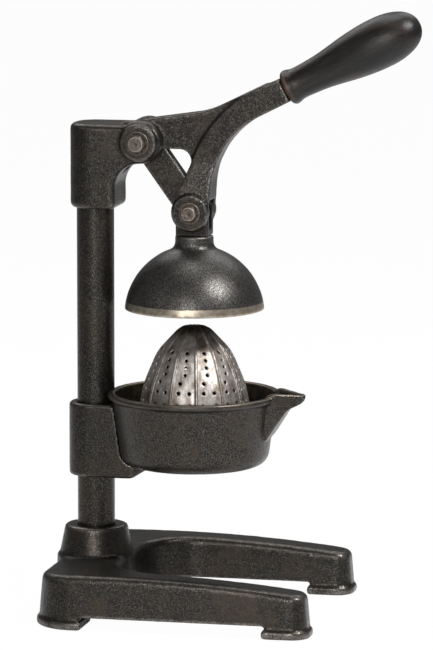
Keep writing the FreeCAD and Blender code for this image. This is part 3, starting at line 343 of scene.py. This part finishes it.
def cast_iron(name, brown=0.5, worn=0.8, tone=1.0, grain_mm=1.0, shine=0.35):
    """Speckled black iron. brown and worn say how strong those patches are."""
    f = Finish(name)
    fine = f.grain(grain_mm, 3, 0.65)
    dust = f.grain(1.9, 2, 0.6)
    coarse = f.grain(9, 4, 0.6)
    cloud = f.grain(38, 3, 0.5)
    gaps = f.step(dust, 0.36, 0.62, 0.40, 1.0)
    speck = f.sums("MULTIPLY", f.step(fine, 0.44, 0.62), gaps)
    dark = tuple(c * tone for c in IRON_BLACK)
    pale = tuple(c * tone for c in IRON_GREY)
    colour = f.mix(speck, dark, pale)
    spread = f.sums("ADD", f.sums("MULTIPLY", coarse, 0.5), f.sums("MULTIPLY", cloud, 0.6))
    colour = f.mix(f.step(spread, 0.50, 0.68, 0, brown), colour, IRON_BROWN)
    # Inner corners are darkened: painted shade where little light reaches
    painted_shade = f.step(f.painted("painted_shade"), 0.15, 0.9, 0, 0.75)
    colour = f.mix(painted_shade, colour, IRON_CORNER_SHADE)
    rubbed = f.step(coarse, 0.32, 0.58, 0.25, worn)
    edge = f.sums("MULTIPLY", f.step(f.painted("worn"), 0.22, 0.85), rubbed)
    edge = f.sums("MULTIPLY", edge, f.step(fine, 0.38, 0.56, 0.15, 1.0))
    colour = f.mix(edge, colour, IRON_WORN)
    rough = f.step(fine, 0.35, 0.65, shine + 0.12, shine - 0.08)
    rough = f.sums("SUBTRACT", rough, f.sums("MULTIPLY", edge, 0.06))
    relief = f.height(fine, 0.15, 0.75)
    relief = f.height(dust, 0.20, 0.3, relief)
    metal = f.step(edge, 0.1, 0.9, 0.8, 0.9)
    return f.finish(colour, rough, metal, relief)


IRON = cast_iron("black_cast_iron", worn=0.5)
IRON_STAND = cast_iron("black_cast_iron_stand", brown=0.6, worn=0.85)
# A darker copy of the iron: painted shade on the lever and the brace
IRON_LEVER_SHADED = cast_iron("black_cast_iron_lever_shaded", worn=0.5, tone=0.78)
# A much darker copy of the iron: painted shade for the yoke between the lever's cheeks
IRON_SHADED = cast_iron("black_cast_iron_painted_shade", brown=0.3, worn=0.12, tone=0.4)
print("cast iron ready")

# %% [markdown]
# ## Steel, brass, bare cone metal and wood
# The bolts are brown-grey steel, worn bright on their rims, and the washers
# behind them are darker. The column is a dark drawn bar with a finer grain
# than the castings, and the bushes are old brass. The cone touches
# fruit all day and stays bare, with a brown stain in patches and at the tip.
# The grip is dark wood, polished by hands, with long grain and open pores.

# %% Steel and brass
STEEL_STAIN = (0.085, 0.058, 0.040)
STEEL_METAL = 0.85


def turned_steel(name, dark, pale, worn, rough=0.42):
    """Machined metal between two tones, stained in clouds and worn at its edges."""
    f = Finish(name)
    fine = f.grain(0.8, 4, 0.65)
    marks = f.grain(2.2, 4, 0.6)
    cloud = f.grain(14, 3, 0.55)
    colour = f.mix(f.step(marks, 0.35, 0.68), dark, pale)
    colour = f.mix(f.step(cloud, 0.50, 0.70, 0, 0.55), colour, STEEL_STAIN)
    rubbed = f.step(fine, 0.3, 0.6, 0.5, 1.0)
    edge = f.sums("MULTIPLY", f.step(f.painted("worn"), 0.25, 0.85), rubbed)
    colour = f.mix(edge, colour, worn)
    relief = f.height(fine, 0.12, 0.5)
    relief = f.height(marks, 0.15, 0.4, relief)
    rough = f.step(marks, 0.3, 0.7, rough + 0.12, rough - 0.08)
    return f.finish(colour, rough, STEEL_METAL, relief)


BOLT_STEEL = turned_steel(
    "worn_bolt_steel",
    dark=(0.050, 0.040, 0.034),
    pale=(0.105, 0.088, 0.076),
    worn=(0.55, 0.49, 0.43),
)
WASHER_STEEL = turned_steel(
    "dark_washer_steel",
    dark=(0.022, 0.018, 0.015),
    pale=(0.050, 0.041, 0.035),
    worn=(0.17, 0.14, 0.115),
    rough=0.46,
)
BRASS = turned_steel(
    "old_brass",
    dark=(0.20, 0.14, 0.06),
    pale=(0.42, 0.31, 0.14),
    worn=(0.62, 0.48, 0.25),
    rough=0.36,
)
COLUMN_STEEL = cast_iron(
    "dark_drawn_bar", brown=0.3, worn=0.8, tone=0.9, grain_mm=0.95, shine=0.33
)
print("steel and brass ready")

# %% Bare cone metal and wood
CONE_DARK = (0.30, 0.272, 0.247)
CONE_PALE = (0.50, 0.468, 0.433)
CONE_WORN = (0.60, 0.56, 0.52)
CONE_STAIN = (0.155, 0.118, 0.090)
CONE_SPECK = (0.10, 0.078, 0.060)
CONE_TIP = (0.045, 0.034, 0.026)
# Colour of the painted shade in the cone's holes and grooves
CONE_HOLE_SHADE = (0.022, 0.016, 0.012)
WOOD_DARK = (0.0022, 0.0018, 0.0015)
WOOD_PALE = (0.0080, 0.0062, 0.0050)
WOOD_BAND = (0.024, 0.014, 0.008)
WOOD_RUBBED = (0.060, 0.034, 0.020)
GRIP_TILT = math.radians(27)


def cone_metal():
    """Bare metal with stained patches, painted shade in holes and grooves, and a dark tip."""
    f = Finish("worn_cone_metal")
    fine = f.grain(0.8, 3, 0.65)
    blotch = f.grain(3.2, 4, 0.65, (1, 1, 0.6))
    drip = f.grain(9, 4, 0.6, (1, 1, 0.3))
    colour = f.mix(f.step(blotch, 0.36, 0.62), CONE_DARK, CONE_PALE)
    colour = f.mix(f.step(drip, 0.44, 0.64, 0, 0.85), colour, CONE_STAIN)
    colour = f.mix(f.step(fine, 0.50, 0.66, 0, 0.5), colour, CONE_SPECK)
    colour = f.mix(f.step(f.painted("tip"), 0.0, 1.0, 0, 0.92), colour, CONE_TIP)
    # The walls of holes and grooves are darkened: painted shade
    hole_shade = f.step(f.painted("painted_shade"), 0.1, 0.8)
    colour = f.mix(f.step(f.painted("worn"), 0.35, 0.95, 0, 0.2), colour, CONE_WORN)
    colour = f.mix(hole_shade, colour, CONE_HOLE_SHADE)
    relief = f.height(fine, 0.14, 0.6)
    relief = f.height(blotch, 0.22, 0.3, relief)
    rough = f.step(blotch, 0.3, 0.7, 0.54, 0.43)
    rough = f.sums("MAXIMUM", rough, f.sums("MULTIPLY", hole_shade, 0.85))
    return f.finish(colour, rough, f.step(hole_shade, 0, 1, 0.94, 0.1), relief, 0.4)


def grip_wood():
    """Nearly black wood whose fibres run along the tilted grip."""
    f = Finish("dark_polished_wood")
    turned = f.tree.nodes.new("ShaderNodeMapping")
    turned.inputs["Rotation"].default_value = (0, GRIP_TILT, 0)
    f.tree.links.new(f.place, turned.inputs["Vector"])
    f.place = turned.outputs[0]
    fibre = f.grain(1.6, 5, 0.65, (0.05, 1, 1))
    band = f.grain(7, 3, 0.55, (0.10, 1, 1))
    blotch = f.grain(16, 3, 0.5)
    colour = f.mix(f.step(fibre, 0.38, 0.64), WOOD_DARK, WOOD_PALE)
    colour = f.mix(f.step(band, 0.50, 0.68, 0, 0.5), colour, WOOD_BAND)
    rubbed = f.sums("MULTIPLY", f.step(f.painted("worn"), 0.15, 0.9), f.step(blotch, 0.35, 0.6))
    colour = f.mix(rubbed, colour, WOOD_RUBBED)
    pores = f.grain(1.3, 3, 0.65, (0.4, 1, 1))
    relief = f.height(fibre, 0.20, 0.45)
    relief = f.height(pores, 0.30, 0.8, relief)
    return f.finish(colour, f.step(pores, 0.3, 0.7, 0.44, 0.30), 0.0, relief, 0.26)


CONE_METAL = cone_metal()
WOOD = grip_wood()
print("cone metal and wood ready")

# %% [markdown]
# ## From a CAD solid to a casting
# A CAD solid has knife-sharp inner corners and dead flat faces. A sand
# casting has neither. The mesh is first rebuilt as an even skin of small
# squares, then relaxed so that corners soften, then pushed in and out by
# gentle noise. Bores are opened again afterwards, so that pins still fit.
# This way was chosen over sculpting, since it follows the model by itself.

# %% Casting helpers
WELD = 1e-6
WEAR_FULL = 0.22
BORE_SLACK = 0.10 * MM
BORE_CATCH = 0.9 * MM


def points_of(mesh):
    flat = np.zeros(len(mesh.vertices) * 3)
    mesh.vertices.foreach_get("co", flat)
    return flat.reshape(-1, 3)


def normals_of(mesh):
    flat = np.zeros(len(mesh.vertices) * 3)
    mesh.vertex_normals.foreach_get("vector", flat)
    return flat.reshape(-1, 3)


def set_points(mesh, points):
    mesh.vertices.foreach_set("co", points.ravel())
    mesh.update()


def relaxed(mesh, values, passes):
    """Values at the points, averaged with their neighbours again and again."""
    pairs = np.zeros(len(mesh.edges) * 2, dtype=np.int64)
    mesh.edges.foreach_get("vertices", pairs)
    first, second = pairs[0::2], pairs[1::2]
    count = len(mesh.vertices)
    friends = np.bincount(first, minlength=count) + np.bincount(second, minlength=count)
    friends = np.maximum(friends, 1)
    result = values.copy().reshape(count, -1)
    for _ in range(passes):
        for column in range(result.shape[1]):
            now = result[:, column]
            total = np.bincount(first, now[second], count)
            total += np.bincount(second, now[first], count)
            result[:, column] = 0.5 * now + 0.5 * total / friends
    return result.reshape(values.shape)


def paint(mesh, name, values):
    """Store one number per point for the materials to read."""
    layer = mesh.attributes.get(name) or mesh.attributes.new(name, "FLOAT", "POINT")
    layer.data.foreach_set("value", np.clip(values, 0, 1).astype(np.float32))


def paint_wear(mesh, voxel, reach_mm):
    """Outer corners become worn, and inner ones get painted shade, over about reach_mm."""
    reach = reach_mm * MM
    passes = max(4, int(2.2 * (reach / voxel) ** 2))
    points = points_of(mesh)
    bulge = np.einsum("ij,ij->i", points - relaxed(mesh, points, passes), normals_of(mesh))
    bulge = relaxed(mesh, bulge, 2) / reach
    paint(mesh, "worn", bulge / WEAR_FULL)
    # Inner corners, as a mask for painted shade
    paint(mesh, "painted_shade", -bulge / WEAR_FULL)


def ripple(points, size_mm):
    """Smooth noise from -1 to 1 at each point."""
    scale = 1 / (size_mm * MM)
    return np.array([noise.noise(Vector(p) * scale) for p in points])


def even_skin(node, voxel, passes):
    """The node's solid as a fresh mesh of even squares with softened corners."""
    mesh = NODES[node].data.copy()
    shape = bmesh.new()
    shape.from_mesh(mesh)
    bmesh.ops.remove_doubles(shape, verts=shape.verts, dist=WELD)
    shape.to_mesh(mesh)
    shape.free()
    piece = bpy.data.objects.new(node + "_skin", mesh)
    bpy.context.scene.collection.objects.link(piece)
    grid = piece.modifiers.new("even_skin", "REMESH")
    grid.mode = "VOXEL"
    grid.voxel_size = voxel
    grid.use_smooth_shade = True
    ready = piece.evaluated_get(bpy.context.evaluated_depsgraph_get())
    skin = bpy.data.meshes.new_from_object(ready)
    piece.modifiers.clear()
    piece.data = skin
    bpy.data.meshes.remove(mesh)
    set_points(skin, relaxed(skin, points_of(skin), passes))
    return piece


def open_bore(points, centre, radius, along):
    """Push points near a round hole's wall back to its radius."""
    axes = {"y": (0, 2), "z": (0, 1)}[along]
    offset = points[:, axes] - np.array([centre[axes[0]], centre[axes[1]]])
    away = np.hypot(offset[:, 0], offset[:, 1])
    wall = radius + BORE_SLACK
    near = (away < wall) & (away > radius - BORE_CATCH)
    points[np.ix_(near, axes)] += offset[near] * (wall / away[near] - 1)[:, None]


def put_on(piece, name, body, slot, material, *replaced):
    """Name a piece, let it ride on its body and hide the nodes it stands for."""
    piece.name = name
    piece.data.name = name
    piece.data.materials.clear()
    piece.data.materials.append(material)
    piece.data.polygons.foreach_set("use_smooth", [True] * len(piece.data.polygons))
    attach(piece, body)
    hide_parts(*replaced)


def casting(
    node,
    body,
    name,
    material,
    voxel_mm,
    passes,
    relief_mm,
    bores=(),
    slot="iron",
    smooth_part=None,
    reach_mm=2.4,
):
    """A softened copy of a CAD casting. smooth_part tells where relief fades out."""
    voxel = voxel_mm * MM
    piece = even_skin(node, voxel, passes)
    points = points_of(piece.data)
    lumps = 0.6 * ripple(points, 11) + 0.4 * ripple(points, 3.4)
    strength = relief_mm * MM * (1 if smooth_part is None else smooth_part(points))
    points += normals_of(piece.data) * (lumps * strength)[:, None]
    for centre, radius, along in bores:
        open_bore(points, centre, radius * MM, along)
    low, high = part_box(node)
    set_points(piece.data, np.clip(points, low, high))
    paint_wear(piece.data, voxel, reach_mm)
    put_on(piece, name, body, slot, material, node)
    print(f"{name}: {len(piece.data.polygons)} faces")
    return piece


# A bore is a centre, a radius in millimetres and the axis it runs along
COLUMN_BORE = (COLUMN, 15.0, "z")
HEAD_BOLT_BORE = (UPPER_PIVOT, 6.0, "y")
LEVER_BORES = [(UPPER_PIVOT, 8.0, "y"), (LOWER_PIVOT, 5.0, "y")]
YOKE_BORE = (LOWER_PIVOT, 7.0, "y")
print("casting helpers ready")

# %% [markdown]
# ## The stand
# The base is one heavy casting on four pads, so it gets the coarsest grid.
# The head is smaller and its rings catch the light, so its grid is finer.

# %% Base and head
casting(
    "base",
    "stand",
    "base_casting",
    IRON_STAND,
    voxel_mm=1.15,
    passes=4,
    relief_mm=0.20,
    bores=[COLUMN_BORE],
    reach_mm=3.2,
)
casting(
    "head",
    "stand",
    "head_casting",
    IRON,
    voxel_mm=0.85,
    passes=6,
    relief_mm=0.16,
    bores=[COLUMN_BORE, HEAD_BOLT_BORE],
)

# %% [markdown]
# ## The lever
# Hub, web and curved limb are one casting. The straight brace between the two
# bolts is forged, so it is smoother. Both take a darker copy of the iron, as
# painted shade.

# %% Lever and brace
casting(
    "lever_arm",
    "lever",
    "lever_casting",
    IRON_LEVER_SHADED,
    voxel_mm=0.8,
    passes=6,
    relief_mm=0.15,
    bores=LEVER_BORES,
)
casting(
    "brace_link",
    "lever",
    "brace_bar",
    IRON_LEVER_SHADED,
    voxel_mm=0.7,
    passes=3,
    relief_mm=0.05,
    bores=LEVER_BORES,
)

# %% [markdown]
# ## The dome and its yoke
# The dome is cast, but its lowest six millimetres are turned bare, so the
# relief fades out there and the metal shows a warm grey. The yoke sits in
# the shade between the lever's cheeks, and its iron is painted almost black
# as painted shade.

# %% Dome and yoke
BARE_BAND = 6.4 * MM
BAND_FADE = 1.5 * MM
DOME_CENTRE_DROP = 5 * MM
# The dome's black iron is painted paler than the other castings': painted light on the dome
DOME_LIT_DARK = (0.016, 0.0145, 0.0125)
DOME_LIT_PALE = (0.098, 0.092, 0.085)
DOME_BARE_DARK = (0.22, 0.185, 0.142)
DOME_BARE_PALE = (0.36, 0.312, 0.246)
DOME_INSIDE_DARK = (0.050, 0.042, 0.034)
DOME_INSIDE_PALE = (0.11, 0.095, 0.078)


def above_band(points):
    """0 on the bare band and 1 above it."""
    return np.clip((points[:, 2] - DOME_LOW - BARE_BAND) / BAND_FADE, 0, 1)


def dome_iron():
    """Black iron outside, painted paler as painted light, dull metal inside and a bare band at
    the rim.
    """
    f = Finish("dome_iron_with_bare_rim")
    fine = f.grain(0.95, 3, 0.65)
    blotch = f.grain(7, 3, 0.6)
    skin = f.mix(f.step(fine, 0.40, 0.64), DOME_LIT_DARK, DOME_LIT_PALE)
    skin = f.mix(f.step(f.painted("worn"), 0.35, 0.95, 0, 0.5), skin, IRON_WORN)
    bare = f.mix(f.step(blotch, 0.35, 0.65), DOME_BARE_DARK, DOME_BARE_PALE)
    used = f.mix(f.step(blotch, 0.4, 0.65), DOME_INSIDE_DARK, DOME_INSIDE_PALE)
    band = f.step(f.painted("band"), 0.45, 0.55)
    inside = f.step(f.painted("inside"), 0.4, 0.6)
    colour = f.mix(band, f.mix(inside, skin, used), bare)
    rough = f.step(fine, 0.3, 0.7, 0.44, 0.33)
    rough = f.sums("SUBTRACT", rough, f.sums("MULTIPLY", band, 0.04))
    grit = f.sums("MULTIPLY", fine, f.step(band, 0, 1, 1.0, 0.05))
    relief = f.height(grit, 0.17, 0.8)
    return f.finish(colour, rough, f.step(band, 0, 1, 0.8, 0.9), relief)


dome = casting(
    "press_dome",
    "dome",
    "dome_casting",
    dome_iron(),
    voxel_mm=0.9,
    passes=4,
    relief_mm=0.14,
    smooth_part=above_band,
)
points = points_of(dome.data)
facing = normals_of(dome.data)
outward = points - np.array([PRESS.x, 0, DOME_LOW - DOME_CENTRE_DROP])
inward = np.einsum("ij,ij->i", outward, facing) < 0
paint(dome.data, "inside", relaxed(dome.data, inward.astype(float), 1))
band = (points[:, 2] < DOME_LOW + BARE_BAND) & ~inward
paint(dome.data, "band", relaxed(dome.data, band.astype(float), 1))
casting(
    "dome_yoke",
    "dome",
    "yoke_casting",
    IRON_SHADED,
    voxel_mm=0.6,
    passes=3,
    relief_mm=0.05,
    bores=[YOKE_BORE],
)

# %% [markdown]
# ## Bowl and bracket
# The bowl's outside is the same black iron. Juice has stripped its inside to
# an olive brown, and the rim is rubbed to a warm bright line.

# %% Bowl and bracket
BOWL_WALL = 66 * MM
BOWL_INSIDE_LOW = 0.122
BOWL_RIM_LOW = 0.1758
OUTER_RIM_WEAR = 0.55
BOWL_USED_DARK = (0.020, 0.017, 0.011)
BOWL_USED_PALE = (0.060, 0.048, 0.032)
BOWL_EDGE = (0.075, 0.064, 0.053)
BOWL_RIM = (0.185, 0.145, 0.105)


def bowl_iron():
    """Black iron outside, olive brown inside, with a rubbed rim."""
    f = Finish("bowl_iron")
    fine = f.grain(0.95, 3, 0.65)
    coarse = f.grain(8, 4, 0.6)
    skin = f.mix(f.step(fine, 0.45, 0.62), IRON_BLACK, IRON_GREY)
    skin = f.mix(f.step(coarse, 0.42, 0.70, 0, 0.7), skin, IRON_BROWN)
    used = f.mix(f.step(coarse, 0.38, 0.64), BOWL_USED_DARK, BOWL_USED_PALE)
    colour = f.mix(f.step(f.painted("inside"), 0.3, 0.7), skin, used)
    rubbed = f.step(coarse, 0.25, 0.6, 0.2, 0.6)
    edge = f.sums("MULTIPLY", f.step(f.painted("worn"), 0.35, 0.9), rubbed)
    colour = f.mix(edge, colour, BOWL_EDGE)
    rubbed = f.step(coarse, 0.2, 0.6, 0.55, 0.95)
    rim = f.sums("MULTIPLY", f.step(f.painted("rim"), 0.3, 0.8), rubbed)
    colour = f.mix(rim, colour, BOWL_RIM)
    relief = f.height(fine, 0.15, 0.75)
    rough = f.step(fine, 0.3, 0.7, 0.48, 0.30)
    rough = f.sums("SUBTRACT", rough, f.sums("MULTIPLY", rim, 0.1))
    return f.finish(colour, rough, f.step(rim, 0.1, 0.9, 0.75, 0.85), relief)


bowl = casting(
    "juice_bowl",
    "bowl",
    "bowl_casting",
    bowl_iron(),
    voxel_mm=0.95,
    passes=4,
    relief_mm=0.15,
    slot="bowl_iron",
)
points = points_of(bowl.data)
facing = normals_of(bowl.data)
radial = points[:, :2] - np.array([PRESS.x, 0])
away = np.hypot(radial[:, 0], radial[:, 1])
inward = (np.einsum("ij,ij->i", radial, facing[:, :2]) < 0) | (facing[:, 2] > 0.7)
inside = (inward & (away < BOWL_WALL) & (points[:, 2] > BOWL_INSIDE_LOW)).astype(float)
paint(bowl.data, "inside", relaxed(bowl.data, inside, 2))
rounded = (facing[:, 2] > 0.25) & (facing[:, 2] < 0.96)
rim = (rounded & (points[:, 2] > BOWL_RIM_LOW)).astype(float)
rim *= np.where(away > BOWL_WALL, OUTER_RIM_WEAR, 1.0)
paint(bowl.data, "rim", relaxed(bowl.data, rim, 1))
casting(
    "bowl_bracket",
    "carrier",
    "bracket_casting",
    IRON,
    voxel_mm=0.95,
    passes=5,
    relief_mm=0.16,
    bores=[COLUMN_BORE],
)

# %% [markdown]
# ## The cone
# Twelve ridges divide the cone. Between them the panels are slightly hollow,
# which is what makes each one shine on one side. The hollow is pressed in
# here, after the grid is made, by a wave round the axis. The walls of holes
# and grooves are found by how steeply they leave the skin round them.

# %% Cone
CONE_VOXEL = 0.5 * MM
CONE_REACH_MM = 0.9
FLUTES = 12
FLUTE_DEPTH = 0.45 * MM
FLUTE_TOP_FADE = 14 * MM
FLUTE_FOOT = 0.1535
FLUTE_FOOT_FADE = 6 * MM
SKIN_PASSES = 40
STEEP_FROM = 0.86
STEEP_FADE = 0.2
HOLE_SHADE_GAIN = 3.0
TIP_STAIN = 13 * MM
cone = even_skin("reamer_cone", CONE_VOXEL, 2)
points = points_of(cone.data)
offset = points[:, :2] - np.array([PRESS.x, 0])
away = np.hypot(offset[:, 0], offset[:, 1])
angle = np.arctan2(offset[:, 1], offset[:, 0])
half_panel = math.pi / FLUTES
wave = 0.5 - 0.5 * np.cos(FLUTES * (angle - half_panel))
drop = CONE_TOP - points[:, 2]
fade = np.clip(drop / FLUTE_TOP_FADE, 0, 1)
fade *= np.clip((points[:, 2] - FLUTE_FOOT) / FLUTE_FOOT_FADE, 0, 1)
pressed = 1 - FLUTE_DEPTH * wave * fade / np.maximum(away, 1 * MM)
points[:, :2] = np.array([PRESS.x, 0]) + offset * pressed[:, None]
low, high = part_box("reamer_cone")
set_points(cone.data, np.clip(points, low, high))
paint_wear(cone.data, CONE_VOXEL, CONE_REACH_MM)
facing = normals_of(cone.data)
smooth = relaxed(cone.data, facing, SKIN_PASSES)
smooth /= np.maximum(np.linalg.norm(smooth, axis=1), 1e-6)[:, None]
steep = np.clip((STEEP_FROM - np.einsum("ij,ij->i", facing, smooth)) / STEEP_FADE, 0, 1)
# The steep walls of holes and grooves get painted shade
paint(cone.data, "painted_shade", HOLE_SHADE_GAIN * relaxed(cone.data, steep, 2))
paint(cone.data, "tip", 1 - drop / TIP_STAIN)
put_on(cone, "fluted_cone", "cone", "cone_metal", CONE_METAL, "reamer_cone")
print("fluted_cone:", len(cone.data.polygons), "faces")

# %% [markdown]
# ## The wooden grip
# The grip was turned on a lathe, so it is one curve swept round its axis. The
# curve runs smoothly from a bead at the iron end, through a narrow neck, to a
# fat belly and a round end. It is bored for the steel stud that holds it.

# %% Grip
GRIP_START = Vector((COLUMN.x + 156.4 * MM, 0, 422.9 * MM))
# Distance from the iron end and radius, in millimetres
GRIP_CURVE = [
    (0.3, 11.6),
    (1.2, 13.3),
    (3.4, 14.4),
    (6.2, 14.0),
    (9.5, 13.1),
    (14.0, 12.9),
    (22.0, 13.3),
    (32.0, 14.1),
    (43.0, 15.7),
    (54.0, 17.6),
    (65.0, 19.1),
    (76.0, 20.1),
    (87.0, 20.3),
    (96.0, 19.6),
    (104.0, 17.7),
    (110.5, 14.9),
    (115.3, 11.2),
    (118.2, 7.2),
    (119.5, 3.4),
]
GRIP_END_MM = 119.8
GRIP_TURNS = 96
BORE_DEPTH_MM = 81.0
STUD_RADIUS_MM = 5.1
BEAD_AT = 3.4 * MM
BEAD_WIDE = 1.8 * MM


def smooth_curve(knots, steps):
    """Points on a smooth line through the knots."""
    ends = [knots[0]] + list(knots) + [(knots[-1][0] + 0.1, 0)]
    line = []
    for i in range(1, len(knots)):
        before, start, end, after = (np.array(k) for k in ends[i - 1 : i + 3])
        for s in range(steps):
            u = s / steps
            line.append(
                0.5
                * (
                    2 * start
                    + (end - before) * u
                    + (2 * before - 5 * start + 4 * end - after) * u**2
                    + (3 * start - before - 3 * end + after) * u**3
                )
            )
    return line + [np.array(knots[-1])]


bore = [
    (BORE_DEPTH_MM, 0.0),
    (BORE_DEPTH_MM, STUD_RADIUS_MM),
    (GRIP_CURVE[0][0], STUD_RADIUS_MM),
]
profile = bore + smooth_curve(GRIP_CURVE, 5) + [(GRIP_END_MM, 0.0)]
along = Vector((math.cos(GRIP_TILT), 0, math.sin(GRIP_TILT)))
upward = Vector((-math.sin(GRIP_TILT), 0, math.cos(GRIP_TILT)))
across = Vector((0, 1, 0))
shape = bmesh.new()
rings = []
for reach, radius in profile:
    centre = GRIP_START + along * reach * MM
    if radius == 0:
        rings.append([shape.verts.new(centre)] * GRIP_TURNS)
        continue
    ring = []
    for i in range(GRIP_TURNS):
        turn = math.tau * i / GRIP_TURNS
        way = upward * math.cos(turn) + across * math.sin(turn)
        ring.append(shape.verts.new(centre + way * radius * MM))
    rings.append(ring)
for first, second in zip(rings, rings[1:]):
    for i in range(GRIP_TURNS):
        j = (i + 1) % GRIP_TURNS
        corners = [first[i], first[j], second[j], second[i]]
        shape.faces.new(list(dict.fromkeys(corners)))
bmesh.ops.recalc_face_normals(shape, faces=shape.faces)
mesh = bpy.data.meshes.new("turned_grip")
shape.to_mesh(mesh)
shape.free()
grip = bpy.data.objects.new("turned_grip", mesh)
bpy.context.scene.collection.objects.link(grip)
points = points_of(mesh)
reach = (points - np.array(GRIP_START)) @ np.array(along)
paint(mesh, "worn", np.exp(-(((reach - BEAD_AT) / BEAD_WIDE) ** 2)))
put_on(grip, "turned_grip", "lever", "grip_wood", WOOD, "handle_grip")
print("turned_grip:", len(mesh.polygons), "faces")

# %% [markdown]
# ## Hardware
# Bolts, nuts and washers keep their CAD sizes. Their edges are eased a little,
# which is what draws the bright line round them. The two bolt heads that face
# the front also get a round chamfer and a small centre mark.

# %% Bolts, nuts and washers
HARDWARE_VOXEL = 0.32 * MM
HARDWARE_REACH_MM = 0.6
CHAMFER_START = 0.86
CHAMFER_SLOPE = 0.75
MARK_DEPTH = 0.6 * MM
MARK_RADIUS = 1.5 * MM
FRONT_BOLTS = ("pivot_bolt", "lower_pivot_bolt")


def chamfered_head(points, axis, front):
    """The round chamfer on a hex head that faces the front, and its centre mark."""
    away = np.hypot(points[:, 0] - axis.x, points[:, 2] - axis.z)
    flat = np.abs(points[points[:, 1] < front + MM, 2] - axis.z).max()
    face = front + np.maximum(away - CHAMFER_START * flat, 0) * CHAMFER_SLOPE
    face += MARK_DEPTH * np.clip(1 - (away / MARK_RADIUS) ** 2, 0, 1)
    points[:, 1] = np.maximum(points[:, 1], face)


def machined(node, body, material):
    """A copy of a small turned piece with eased edges."""
    piece = even_skin(node, HARDWARE_VOXEL, 2)
    low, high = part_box(node)
    points = np.clip(points_of(piece.data), low, high)
    if node in FRONT_BOLTS:
        chamfered_head(points, middle_of(node), low.y)
    set_points(piece.data, points)
    paint_wear(piece.data, HARDWARE_VOXEL, HARDWARE_REACH_MM)
    put_on(piece, node + "_turned", body, "bolt_steel", material, node)
    print(f"{piece.name}: {len(piece.data.polygons)} faces")


HARDWARE = {
    "stand": (
        "head_set_screw",
        "head_lock_nut",
        "pivot_bolt",
        "pivot_front_washer",
        "pivot_back_washer",
        "pivot_nut",
    ),
    "lever": ("lower_pivot_bolt", "lower_front_washer", "lower_back_washer", "lower_pivot_nut"),
    "clamp": ("clamp_screw",),
}
for body, names in HARDWARE.items():
    for node in names:
        machined(node, body, WASHER_STEEL if "washer" in node else BOLT_STEEL)

# %% [markdown]
# ## The pieces that keep their CAD shape
# The column, the bushes and the hidden pins are already right. They only get
# their finish.

# %% Finishes for the rest


def dress(node, material):
    """Give a CAD node a finish, and leave its mesh alone."""
    target = NODES[node]
    target.data.materials.clear()
    target.data.materials.append(material)


KEPT = {
    "column": COLUMN_STEEL,
    "column_bolt": BOLT_STEEL,
    "column_bolt_washer": BOLT_STEEL,
    "handle_stud": BOLT_STEEL,
    "pivot_bush": BRASS,
    "dome_bushes": BRASS,
    "yoke_set_screw": BOLT_STEEL,
    "bowl_peg": BOLT_STEEL,
}
for node, material in KEPT.items():
    dress(node, material)
shown = [o.name for o in NODES.values() if not o.hide_render]
print("CAD nodes still shown:", sorted(shown))
